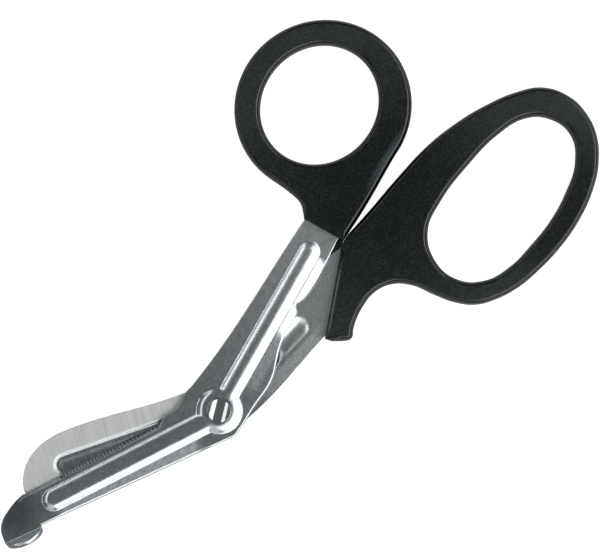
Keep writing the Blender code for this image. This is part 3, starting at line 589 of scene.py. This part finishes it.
# Painted reflection: the skin's colour is painted paler towards the handles.
painted_reflection = node(tree, "MapRange", {"Value": place, "From Min": -0.004, "From Max": 0.030})
shade = node(tree, "Math", {0: painted_reflection, 1: knocks}, operation="ADD")
shade = node(tree, "MapRange", {"Value": shade, "From Min": 0.30, "From Max": 1.70})
skin = node(tree, "ValToRGB", {"Fac": shade})
stops = skin.color_ramp.elements
stops[0].color = linear("#8A9092")
stops[1].color = linear("#D0D4D5")
tone = node(tree, "Mix", {"Factor": share, 6: skin, 7: pale}, data_type="RGBA")
dull_ground = node(tree, "MapRange", {"Value": grit, "To Min": 0.46, "To Max": 0.58})
dull_skin = node(tree, "MapRange", {"Value": knocks, "To Min": 0.23, "To Max": 0.30})
dull = node(tree, "Mix", {"Factor": share, 2: dull_skin, 3: dull_ground}, data_type="FLOAT")
relief = node(tree, "Math", {0: grit, 1: share}, operation="MULTIPLY")
relief = node(tree, "Bump", {"Height": relief, "Strength": 0.10, "Distance": 0.0001})
feed(shader, {"Base Color": tone.outputs[2], "Roughness": dull, "Normal": relief})
upper_blade.data.materials.append(ground_steel)
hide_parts("upper_blade")
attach(upper_blade, "finger_half")


# Round handle for the thumb. Injection moulded black polypropylene, moulded over the front tang,
# with flat faces, sides that belly out to the parting line, and a square front end.

HANDLE = 0.0089
HALF = HANDLE / 2
EDGE_INSET = 0.00050
LIP_RADIUS = 0.00080
LIP_END = 35
BELLY_DROP = 0.0026
WALL_HALF = 0.0010
FLAT_RING = 0.0003
LEAST_DEPTH = 0.25
COLLAR_LIP = 0.00010
COLLAR_SIDE = [(0.00104, 0.0004), (0.00086, 0.0010), (0.00066, 0.0015), (0.00048, 0.0019),
               (0.00042, 0.00196), (0.00022, 0.00205), (0.00006, 0.00213), (0.0, 0.0023)]


def side_profile():
    """The side of a moulded handle from its top face to its bottom face, as inset and level.

    A tight quarter round of LIP_RADIUS leaves the flat face. From LIP_END degrees on it the side
    bellies out on a part of an ellipse, to the upright wall at the parting line half way down.
    """
    turn = np.radians(np.linspace(90, LIP_END, 6))
    lean = math.radians(LIP_END)
    round_inset = EDGE_INSET + LIP_RADIUS - LIP_RADIUS * np.cos(turn)
    round_level = HALF - LIP_RADIUS + LIP_RADIUS * np.sin(turn)
    t = np.linspace(0, 1, 9)[1:]
    belly_inset = (round_inset[-1] * (1 - np.sin(lean + (math.pi / 2 - lean) * t))
                   / (1 - math.sin(lean)))
    belly_level = round_level[-1] - BELLY_DROP * t
    inset = np.concatenate([[EDGE_INSET + LIP_RADIUS + FLAT_RING], round_inset, belly_inset, [0, 0]])
    level = np.concatenate([[HALF], round_level, belly_level, [WALL_HALF, 0]])
    return (np.concatenate([inset, inset[-2::-1]]),
            np.concatenate([level, -level[-2::-1]]) + HALF)


def collar_profile(inset, level):
    """The side where the steel comes out: a steep wall with a low sloped collar at its foot.

    It has the points of side_profile, with its round and its belly laid out anew.
    """
    inset, level = inset.copy(), level.copy()
    turn = np.radians(np.linspace(90, 20, 6))
    place, fall = np.transpose(COLLAR_SIDE)
    new_inset = np.concatenate([place[0] + COLLAR_LIP * (1.6 - np.cos(turn)), place])
    new_level = HALF - np.concatenate([COLLAR_LIP - COLLAR_LIP * np.sin(turn), fall])
    count = len(new_inset)
    inset[1:count + 1], level[1:count + 1] = new_inset, new_level + HALF
    inset[-2:-count - 2:-1], level[-2:-count - 2:-1] = new_inset, HALF - new_level
    return inset, level


def loop_side(line, outward, softness=1.0, collar=0.0):
    """A handle's side carried round a closed line. SOFTNESS scales its rounding at each point.

    Each point of the line moves in by the profile's inset, along the line's own normal there:
    p = line - inset x softness x normal. COLLAR mixes in the other profile.
    """
    along = np.roll(line, -1, axis=0) - np.roll(line, 1, axis=0)
    along /= np.linalg.norm(along, axis=1, keepdims=True)
    normal = np.stack([along[:, 1], -along[:, 0]], -1) * outward
    inset, level = side_profile()
    collar_inset, collar_level = collar_profile(inset, level)
    soft, collar = [np.broadcast_to(share, len(line))[:, None] for share in (softness, collar)]
    inset = inset * (1 - collar) + collar_inset * collar
    level = level * (1 - collar) + collar_level * collar
    points = line[:, None] - normal[:, None] * (inset * soft)[..., None]
    depth = HALF - np.abs(level - HALF)
    depth = depth * (LEAST_DEPTH + (1 - LEAST_DEPTH) * soft)
    levels = HALF + np.sign(level - HALF) * (HALF - depth)
    return np.dstack([points, levels])


def moulded_handle(name, outer, softness, hole, bridges, collar=0.0):
    """A flat handle: the side carried round its outline and its hole, and its two flat faces.

    Each flat face is two polygons that meet at two BRIDGES, given as the numbers of an outline
    point and of a hole point.
    """
    grids = [loop_side(outer, 1, softness, collar), loop_side(hole, 1)]
    steps = grids[0].shape[1]
    number = np.arange((len(outer) + len(hole)) * steps).reshape(-1, steps)
    rings = number[:len(outer)], number[len(outer):]
    faces = band(rings[0]) + band(rings[1])
    (a, p), (b, q) = bridges
    for level in (0, -1):
        ring, inner = rings[0][:, level], rings[1][:, level]
        one_way = np.concatenate([np.roll(ring, -a)[:(b - a) % len(ring) + 1],
                                  np.roll(inner, -q)[:(p - q) % len(inner) + 1]])
        other = np.concatenate([np.roll(ring, -b)[:(a - b) % len(ring) + 1],
                                np.roll(inner, -p)[:(q - p) % len(inner) + 1]])
        faces += [one_way.tolist(), other.tolist()]
    points = np.vstack([grid.reshape(-1, 3) for grid in grids])
    return finished_mesh(name, points, faces, crease=50.0)


LOOP_STEPS = 12
OUTLINE_SPACING = 0.00035


def closed(points, smooth):
    """A closed line through points, each span split as fair() does."""
    points, smooth = np.asarray(points, float), np.asarray(smooth, bool)
    wrapped = np.vstack([points[-2:], points, points[:3]])
    line, index = fair(wrapped, np.concatenate([smooth[-2:], smooth, smooth[:3]]), LOOP_STEPS)
    return line[(index >= 2) & (index < 2 + len(points) - 1e-9)]


def evened(line):
    """A closed line resampled at an even spacing."""
    ring = np.vstack([line, line[:1]])
    reach = np.concatenate([[0], np.cumsum(np.linalg.norm(np.diff(ring, axis=0), axis=1))])
    wanted = np.linspace(0, reach[-1], round(reach[-1] / OUTLINE_SPACING), endpoint=False)
    return np.stack([np.interp(wanted, reach, ring[:, k]) for k in (0, 1)], -1)


def nearest(line, point):
    """The number of the line's point that is nearest to a place."""
    return int(np.argmin(np.linalg.norm(line - np.asarray(point), axis=1)))


def ellipse(centre, half_length, half_width, angle, start, end, count):
    """Points round part of an ellipse whose long axis points at ANGLE."""
    turn = np.radians(np.linspace(start, end, count))
    return centre + at(angle, half_length * np.cos(turn), half_width * np.sin(turn))


THUMB_START = 0.0550
THUMB_CORNER, CORNER_FADE = 0.12, 0.0022
thumb_centre = at(FRONT_SHANK, 0.0833, 0.0160)
hole_centre = at(FRONT_SHANK, 0.0833, 0.0171)
ring_part = ellipse(thumb_centre, 0.0237, 0.0228, -3.8, -66.0, 196.0, 40)
neck_right = at(FRONT_SHANK, [THUMB_START, THUMB_START + 0.0110], [-0.0062, -0.0068])
neck_left = at(FRONT_SHANK, [THUMB_START + 0.0042, THUMB_START + 0.0033, THUMB_START + 0.0014,
                             THUMB_START], [0.0119, 0.0087, 0.0067, 0.0056])
outline = np.vstack([neck_right, ring_part, neck_left])
is_smooth = [False] + [True] * (len(outline) - 2) + [False]
outer = evened(closed(outline, is_smooth))
front_reach = outer @ at(FRONT_SHANK, 1.0) - THUMB_START
softness = THUMB_CORNER + (1 - THUMB_CORNER) * ease((front_reach - 0.0002) / CORNER_FADE)
thumb_hole = ellipse(hole_centre, 0.0164, 0.0150, 12.6, 0.0, 360.0, 301)[:-1]
bridges = [(nearest(outer, thumb_centre + at(FRONT_SHANK, 0.0230)),
            nearest(thumb_hole, hole_centre + at(FRONT_SHANK, 0.0160))),
           (nearest(outer, at(FRONT_SHANK, THUMB_START, -0.0005)),
            nearest(thumb_hole, hole_centre - at(FRONT_SHANK, 0.0150, 0.0050)))]
thumb_ring = moulded_handle("moulded_thumb_ring", outer, softness, thumb_hole[::-1],
                            [(a, len(thumb_hole) - 1 - p) for a, p in bridges])

# Black polypropylene, injection moulded. The mould is finely sparked over the flat faces, which
# look matte and grainy, and polished at the sides, which look glossy and black. Sink waves of
# some 9 mm cloud the faces. Painted light and shade: the faces are painted darker by the necks
# and at one side of the finger loop and paler elsewhere, where they are also rougher. A painted
# highlight streaks the thumb ring's side near its neck.
SPARK_START, SPARK_FULL = HALF - 0.00003, HALF - 0.000005
plastic, shader, tree = new_material("Moulded black polypropylene", {"IOR": 1.49})
coordinate = node(tree, "TexCoord").outputs["Object"]
level = node(tree, "SeparateXYZ", {"Vector": coordinate}).outputs["Z"]
level = node(tree, "Math", {0: level, 1: HALF}, operation="SUBTRACT")
level = node(tree, "Math", {0: level}, operation="ABSOLUTE")
sparked = node(tree, "MapRange", {
    "Value": level, "From Min": SPARK_START, "From Max": SPARK_FULL})
# Painted light and shade: the faces are painted darker by the necks and at one side of the loop.
from_necks = node(tree, "VectorMath", {0: coordinate, 1: (0.067, 0.024, HALF)},
                  operation="DISTANCE").outputs["Value"]
from_side = node(tree, "VectorMath", {0: coordinate, 1: (0.104, -0.010, HALF)},
                 operation="DISTANCE").outputs["Value"]
off_necks = node(tree, "MapRange", {"Value": from_necks, "From Min": 0.012, "From Max": 0.042})
off_side = node(tree, "MapRange", {
    "Value": from_side, "From Min": 0.010, "From Max": 0.026, "To Min": 0.2})
painted_light = node(tree, "Math", {0: off_necks, 1: off_side}, operation="MINIMUM")
# Painted highlight: a pale streak painted on the thumb ring's side near its neck.
along_neck = node(tree, "Mapping", {
    "Vector": coordinate, "Location": (0.0745, 0.0294, HANDLE), "Scale": (0.0120, 0.0014, 0.010),
    "Rotation": (0, 0, math.radians(23))}, vector_type="TEXTURE")
from_painted_highlight = node(tree, "VectorMath", {0: along_neck}, operation="LENGTH").outputs["Value"]
painted_highlight = node(tree, "MapRange", {"Value": from_painted_highlight, "From Min": 1.0, "From Max": 0.1})
grain = node(tree, "TexNoise", {
    "Vector": coordinate, "Scale": 2100.0, "Detail": 2.0, "Roughness": 0.6})
sink = node(tree, "TexNoise", {"Vector": coordinate, "Scale": 110.0, "Detail": 3.0})
# Sink clouds, with the painted light and the painted highlight added in.
clouds_and_painted_light = node(tree, "Math", {0: painted_light, 1: 0.6, 2: sink}, operation="MULTIPLY_ADD")
clouds_and_painted_light = node(tree, "Math", {0: painted_highlight, 1: 3.2, 2: clouds_and_painted_light}, operation="MULTIPLY_ADD")
shade = node(tree, "Math", {0: grain, 1: 4.0, 2: clouds_and_painted_light}, operation="MULTIPLY_ADD")
shade = node(tree, "MapRange", {"Value": shade, "From Min": 2.4, "From Max": 7.8})
face = node(tree, "ValToRGB", {"Fac": shade})
stops = face.color_ramp.elements
stops[0].color = linear("#010303")
stops[1].color = linear("#424F51")
tone = node(tree, "Mix", {"Factor": sparked, 6: linear("#04080A"), 7: face}, data_type="RGBA")
# Where the painted light is paler, the faces are also rougher.
dull_face = node(tree, "MapRange", {"Value": painted_light, "To Min": 0.20, "To Max": 0.38})
dull = node(tree, "Mix", {"Factor": sparked, 2: 0.11, 3: dull_face}, data_type="FLOAT")
relief = node(tree, "Bump", {"Height": grain, "Strength": 0.30, "Distance": 0.0001})
relief = node(tree, "Bump", {
    "Height": sink, "Strength": 0.06, "Distance": 0.0006, "Normal": relief})
feed(shader, {"Base Color": tone.outputs[2], "Roughness": dull, "Normal": relief})
thumb_ring.data.materials.append(plastic)
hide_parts("thumb_ring")
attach(thumb_ring, "thumb_half")

# Black wedge of the handles' plastic along the front shank's edge, beside the steel. The black
# beside the steel there is taken as a tongue of the thumb handle, moulded in one with it, so it
# begins 0.3 mm inside the handle.
WEDGE = [(0.0499, -0.00504), (0.0555, -0.00504), (0.0555, -0.0062), (0.0541, -0.0062),
         (0.0533, -0.00645)]
WEDGE_RINGS = [(0.94, 0.00445), (1.0, 0.00455), (1.0, 0.0060), (0.88, 0.0062)]
wedge_plan = at(FRONT_SHANK, *np.transpose(WEDGE))
middle = wedge_plan.mean(axis=0)
points = np.vstack([np.column_stack([middle + (wedge_plan - middle) * share,
                                     np.full(len(WEDGE), level)]) for share, level in WEDGE_RINGS])
number = np.arange(len(points)).reshape(len(WEDGE_RINGS), -1)
faces = [number[0, ::-1].tolist(), number[-1].tolist()]
faces += band(number.T)
edge_wedge = finished_mesh("black_edge_wedge", points, faces, crease=30.0)
edge_wedge.data.materials.append(plastic)
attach(edge_wedge, "thumb_half")


# Long handle for the fingers. The same moulding over the rear tang: an open loop, a hooked end
# in front of the first finger, and a front face that crosses the steel at a slant.

STOP_CLEARANCE = 0.00012
FINGER_CORNER = 0.25
COLLAR_FADE = 0.0012
hook = at(FINGER_FRONT, 0.0236, -FRONT_OFFSET)
upper_corner = crossing(FINGER_FRONT, -FRONT_OFFSET, FRONT_SHANK, STOP_ACROSS)
stop = at(FRONT_SHANK, THUMB_START + 0.0022, STOP_ACROSS - STOP_CLEARANCE)
bow = [
    (0.0624, 0.0205), (0.0740, 0.0235), (0.0850, 0.0258), (0.0947, 0.0264), (0.1037, 0.0258),
    (0.1125, 0.0240), (0.1191, 0.0209), (0.1234, 0.0149), (0.1245, 0.0090), (0.1236, 0.0030),
    (0.1199, -0.0035), (0.1146, -0.0086), (0.1069, -0.0132), (0.0985, -0.0163), (0.0897, -0.0181),
    (0.0830, -0.0186), (0.0768, -0.0178), (0.0714, -0.0158), (0.0672, -0.0120), (0.0641, -0.0075),
    (0.0606, -0.0019), (0.0562, 0.0014), (0.0512, 0.0021), (0.0464, 0.0006), (0.0438, -0.0008),
    (0.0412, -0.0028), (0.0402, -0.0040), (0.0393, -0.0044), (0.0384, -0.0042)]
corners = np.array([stop, (0.0350, -0.0021), hook, upper_corner])
loop_outline = np.vstack([corners[:1], bow, corners[1:]])
is_smooth = [False] + [True] * len(bow) + [False] * 3
outer = evened(closed(loop_outline, is_smooth)[::-1])
to_corner = np.min([np.linalg.norm(outer - corner, axis=1) for corner in corners], axis=0)
softness = FINGER_CORNER + (1 - FINGER_CORNER) * ease(to_corner / CORNER_FADE)
loop_hole = [
    (0.1104, 0.0170), (0.1155, 0.0135), (0.1179, 0.0067), (0.1148, 0.0000), (0.1076, -0.0055),
    (0.1005, -0.0090), (0.0928, -0.0113), (0.0850, -0.0128), (0.0771, -0.0120),
    (0.0712, -0.0074), (0.0694, 0.0000), (0.0724, 0.0074), (0.0794, 0.0117), (0.0907, 0.0154),
    (0.1025, 0.0176)]
finger_hole = evened(closed(loop_hole, [True] * len(loop_hole)))
bridges = [(nearest(outer, bow[8]), nearest(finger_hole, loop_hole[2])),
           (nearest(outer, (0.0635, -0.0065)), nearest(finger_hole, (0.0702, -0.0055)))]
from_front = np.abs(outer @ at(FINGER_FRONT, 0.0, 1.0) + FRONT_OFFSET)
collar = (from_front < 0.0001) * ease(to_corner / COLLAR_FADE)
finger_loop = moulded_handle("moulded_finger_loop", outer, softness, finger_hole, bridges, collar)
finger_loop.data.materials.append(plastic)
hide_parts("finger_loop")
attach(finger_loop, "finger_half")


# Pivot. A turned nut with a flat head behind carries the two halves on its post, and a turned
# screw with a low domed head and a wide slot closes it from the front. Polished stainless steel,
# with the fine rings that the lathe left.

screw_steel, shader, tree = new_material("Turned stainless steel 303", {"Metallic": 1.0})
coordinate = node(tree, "TexCoord").outputs["Object"]
radius = node(tree, "VectorMath", {0: coordinate, 1: (1, 1, 0)}, operation="MULTIPLY")
radius = node(tree, "VectorMath", {0: radius}, operation="LENGTH").outputs["Value"]
lathe = node(tree, "TexNoise", {"W": radius, "Scale": 6000.0, "Detail": 2.0},
             noise_dimensions="1D")
tone = node(tree, "ValToRGB", {"Fac": lathe})
stops = tone.color_ramp.elements
stops[0].color = linear("#8E9394")
stops[1].color = linear("#B4B8B9")
dull = node(tree, "MapRange", {"Value": lathe, "To Min": 0.16, "To Max": 0.26})
feed(shader, {"Base Color": tone, "Roughness": dull})

HEAD_SEAT = 0.0075
HEAD_TOP = 0.0089
HEAD_RADIUS = 0.00355
DOME_RISE = 0.00018
SLOT_HALF = 0.00115
SLOT_ANGLE = 41.0
SLOT_FLOOR = 0.0079
SHANK_RADIUS = 0.0014
SCREW_END = 0.0012
BEVEL = 0.0001
RIM_BEVEL = 0.00050
RIM_SLOPE = math.tan(math.radians(48.0))
SHOULDER_STEEP = 0.0007
SHOULDER_END = 0.0019
SHOULDER_SLOPE = math.tan(math.radians(25.0))
OPENING = math.asin(SLOT_HALF / HEAD_RADIUS)


def head_level(distance, from_slot):
    """The head's surface: nearly flat, with a bevelled rim, and leaning down to its slot.

    The lean is even beside the slot and then fades out: slope x (width - s^2 / (2 x fading)).
    """
    dome = HEAD_TOP - DOME_RISE * (distance / HEAD_RADIUS) ** 2
    fading = SHOULDER_END - SHOULDER_STEEP
    lean = np.clip(SHOULDER_STEEP - from_slot, 0, None) + np.where(
        from_slot < SHOULDER_STEEP, fading / 2,
        np.clip(SHOULDER_END - from_slot, 0, None) ** 2 / (2 * fading))
    bevel = RIM_SLOPE * np.clip(distance - HEAD_RADIUS + RIM_BEVEL, 0, None)
    return dome - SHOULDER_SLOPE * lean - bevel


def half_head(turn, ring_steps, floor_steps):
    """Half of the slotted head as rows of points: slot floor, slot wall, top, rim and underside.

    A row of the top runs along the slot. The first is the slot's edge and the last is the rim,
    and the rows between crowd together near both.
    """
    share = 0.5 - 0.5 * np.cos(math.pi * np.linspace(0, 1, ring_steps))
    rim = HEAD_RADIUS * np.stack([np.cos(turn), np.sin(turn)], -1)
    edge = np.stack([rim[:, 0], np.full(len(turn), SLOT_HALF)], -1)
    xy = edge[None] + (rim - edge)[None] * share[:, None, None]
    top = np.dstack([xy, head_level(np.linalg.norm(xy, axis=-1), xy[..., 1] - SLOT_HALF)])
    across = HEAD_RADIUS * np.sin(np.linspace(0, OPENING, floor_steps))
    floor = np.stack(np.broadcast_arrays(rim[:, 0], across[:, None], SLOT_FLOOR), -1)
    wall = np.stack([np.column_stack([rim * scale, np.full(len(turn), level)])
                     for scale, level in ((1, SLOT_FLOOR), (1, HEAD_SEAT),
                                          (SHANK_RADIUS / HEAD_RADIUS, HEAD_SEAT))])
    return np.vstack([floor, top, wall])


def turned(profile, turn):
    """A grid of points from a profile of radius and level, turned about the pivot's axis."""
    radius, level = np.transpose(profile)[:, :, None]
    return np.stack(np.broadcast_arrays(radius * np.cos(turn), radius * np.sin(turn), level), -1)


half_turn = np.linspace(OPENING, math.pi - OPENING, 121)
end_turn = np.linspace(-OPENING, OPENING, 17)
half = half_head(half_turn, 48, 9)
ring = HEAD_RADIUS * np.stack([np.cos(end_turn), np.sin(end_turn)], -1)
chord = np.stack([np.full(len(ring), HEAD_RADIUS * math.cos(OPENING)), ring[:, 1]], -1)
plan = np.stack([chord, ring, ring, ring * SHANK_RADIUS / HEAD_RADIUS])
levels = np.array([SLOT_FLOOR, SLOT_FLOOR, HEAD_SEAT, HEAD_SEAT])
slot_end = np.dstack([plan, np.broadcast_to(levels[:, None], plan.shape[:2])])
around = np.concatenate([half_turn, math.pi + end_turn[1:-1], math.pi + half_turn,
                         2 * math.pi + end_turn[1:-1], [2 * math.pi + OPENING]])
post = turned([(SHANK_RADIUS, HEAD_SEAT), (SHANK_RADIUS, SCREW_END + BEVEL),
               (SHANK_RADIUS - BEVEL, SCREW_END), (0.0, SCREW_END)], around)
points, faces = [], []
for grid in (half, half * [-1, -1, 1], slot_end, slot_end * [-1, -1, 1], post):
    count = grid.shape[0] * grid.shape[1]
    first = sum(len(part) for part in points)
    faces += quads(first + np.arange(count).reshape(grid.shape[:2])).reshape(-1, 4).tolist()
    points.append(grid.reshape(-1, 3))
points = np.vstack(points)
points[:, :2] = at(SLOT_ANGLE, points[:, 0], points[:, 1])
pivot_screw = finished_mesh("turned_pivot_screw", points, faces, crease=40.0)
pivot_screw.data.materials.append(screw_steel)
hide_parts("pivot_screw")
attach(pivot_screw, "finger_half")

NUT_RADIUS = 0.0039
NUT_THICKNESS = 0.0014
POST_RADIUS = 0.0023
POST_TOP = 0.0072
BORE, BORE_FLOOR = 0.0017, 0.0009
BACK_BEVEL = 0.0003
nut = turned([
    (0.0, BORE_FLOOR), (BORE, BORE_FLOOR), (BORE, POST_TOP - BEVEL), (BORE + BEVEL, POST_TOP),
    (POST_RADIUS - BEVEL, POST_TOP), (POST_RADIUS, POST_TOP - BEVEL), (POST_RADIUS, NUT_THICKNESS),
    (NUT_RADIUS - BEVEL, NUT_THICKNESS), (NUT_RADIUS, NUT_THICKNESS - BEVEL),
    (NUT_RADIUS, BACK_BEVEL), (NUT_RADIUS - BACK_BEVEL, 0.0), (0.0022, 0.0), (0.0, 0.0)],
    np.linspace(0, 2 * math.pi, 128, endpoint=False))
number = np.arange(nut.shape[0] * nut.shape[1]).reshape(nut.shape[:2])
pivot_nut = finished_mesh("turned_pivot_nut", nut.reshape(-1, 3), band(number.T), crease=30.0)
pivot_nut.data.materials.append(screw_steel)
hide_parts("pivot_nut")
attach(pivot_nut, "finger_half")


# Studio. A plain pale sheet under the shears, soft lamps round them, and a long lens above. The
# sheet and the sky look white to the lens and light the shears with less.

SHEET_HALF, SHEET_LEVEL = 3.0, -0.0002
corners = [(x * SHEET_HALF, y * SHEET_HALF, SHEET_LEVEL)
           for x, y in ((-1, -1), (1, -1), (1, 1), (-1, 1))]
floor_mesh = bpy.data.meshes.new("paper_sheet")
floor_mesh.from_pydata(corners, [], [(0, 1, 2, 3)])
floor = bpy.data.objects.new("paper_sheet", floor_mesh)
scene = bpy.context.scene
scene.collection.objects.link(floor)
paper, shader, tree = new_material("White paper", {
    "Roughness": 0.9, "Base Color": linear("#A6A6A6")})
seen = node(tree, "LightPath").outputs["Is Camera Ray"]
glow = node(tree, "Math", {0: seen, 1: 0.90}, operation="MULTIPLY")
white = node(tree, "Emission", {"Color": (1, 1, 1, 1), "Strength": glow})
both = node(tree, "AddShader", {0: shader, 1: white})
feed(tree.nodes["Material Output"], {"Surface": both})
floor_mesh.materials.append(paper)

scene.world = bpy.data.worlds.new("Studio")
scene.world.use_nodes = True
tree = scene.world.node_tree
seen = node(tree, "LightPath").outputs["Is Camera Ray"]
strength = node(tree, "MapRange", {"Value": seen, "To Min": 0.20, "To Max": 1.0})
feed(tree.nodes["Background"], {"Color": (1, 1, 1, 1), "Strength": strength})
scene.view_settings.view_transform = "Standard"

ROLL = math.radians(35.0)


def lamp(name, azimuth, zenith, distance, width, height, radiance, slide=0.0):
    """A soft lamp that faces the shears. AZIMUTH is in the picture, counted from its right.

    ZENITH is its angle from straight above, WIDTH lies level and SLIDE moves it that way. A flat
    lamp of area A and radiance L gives off pi x A x L watts.
    """
    light = bpy.data.lights.new(name, "AREA")
    light.shape = "RECTANGLE"
    light.size, light.size_y = width, height
    light.energy = math.pi * width * height * radiance
    lamp_object = bpy.data.objects.new(name, light)
    turn, fall = math.radians(azimuth) - ROLL, math.radians(zenith)
    place = Vector((math.cos(turn) * math.sin(fall), math.sin(turn) * math.sin(fall),
                    math.cos(fall))) * distance
    level = Vector((math.sin(turn), -math.cos(turn), 0.0))
    lamp_object.rotation_euler = place.to_track_quat("Z", "Y").to_euler()
    lamp_object.location = place + level * slide
    scene.collection.objects.link(lamp_object)


lamp("Broad lamp at the lower right", -35, 50, 1.0, 1.40, 1.10, 2.5)
lamp("Card at the right", 32, 52, 1.0, 0.70, 0.90, 1.8)
lamp("Card below", -112, 52, 1.0, 0.70, 0.90, 0.9)
lamp("Strip lamp at the left", 178, 47, 1.1, 2.2, 0.22, 2.9, slide=0.7)

PIXEL = 0.000264
FRAME_WIDTH, FRAME_HEIGHT = 600, 559
PIVOT_PIXEL = (219.4, 410.8)
TILT = math.radians(1.5)
DISTANCE = 1.50
LOOK_LEVEL = 0.0061
SENSOR = 36.0
camera_data = bpy.data.cameras.new("Long lens")
camera = bpy.data.objects.new("Long lens", camera_data)
scene.collection.objects.link(camera)
scene.camera = camera
camera_data.sensor_fit = "HORIZONTAL"
camera_data.sensor_width = SENSOR
camera_data.lens = SENSOR * DISTANCE / (FRAME_WIDTH * PIXEL)
camera_data.clip_start, camera_data.clip_end = 0.05, 10.0
right = Vector((math.cos(-ROLL), math.sin(-ROLL), 0))
up = Vector((-math.sin(-ROLL), math.cos(-ROLL), 0))
toward = Vector((0, 0, 1)) * math.cos(TILT) - up * math.sin(TILT)
up_tilted = up * math.cos(TILT) + Vector((0, 0, 1)) * math.sin(TILT)
target = (right * (FRAME_WIDTH / 2 - PIVOT_PIXEL[0]) * PIXEL
          + up * (PIVOT_PIXEL[1] - FRAME_HEIGHT / 2) * PIXEL + Vector((0, 0, LOOK_LEVEL)))
turn = Matrix((right, up_tilted, toward)).transposed()
camera.matrix_world = Matrix.Translation(target + toward * DISTANCE) @ turn.to_4x4()
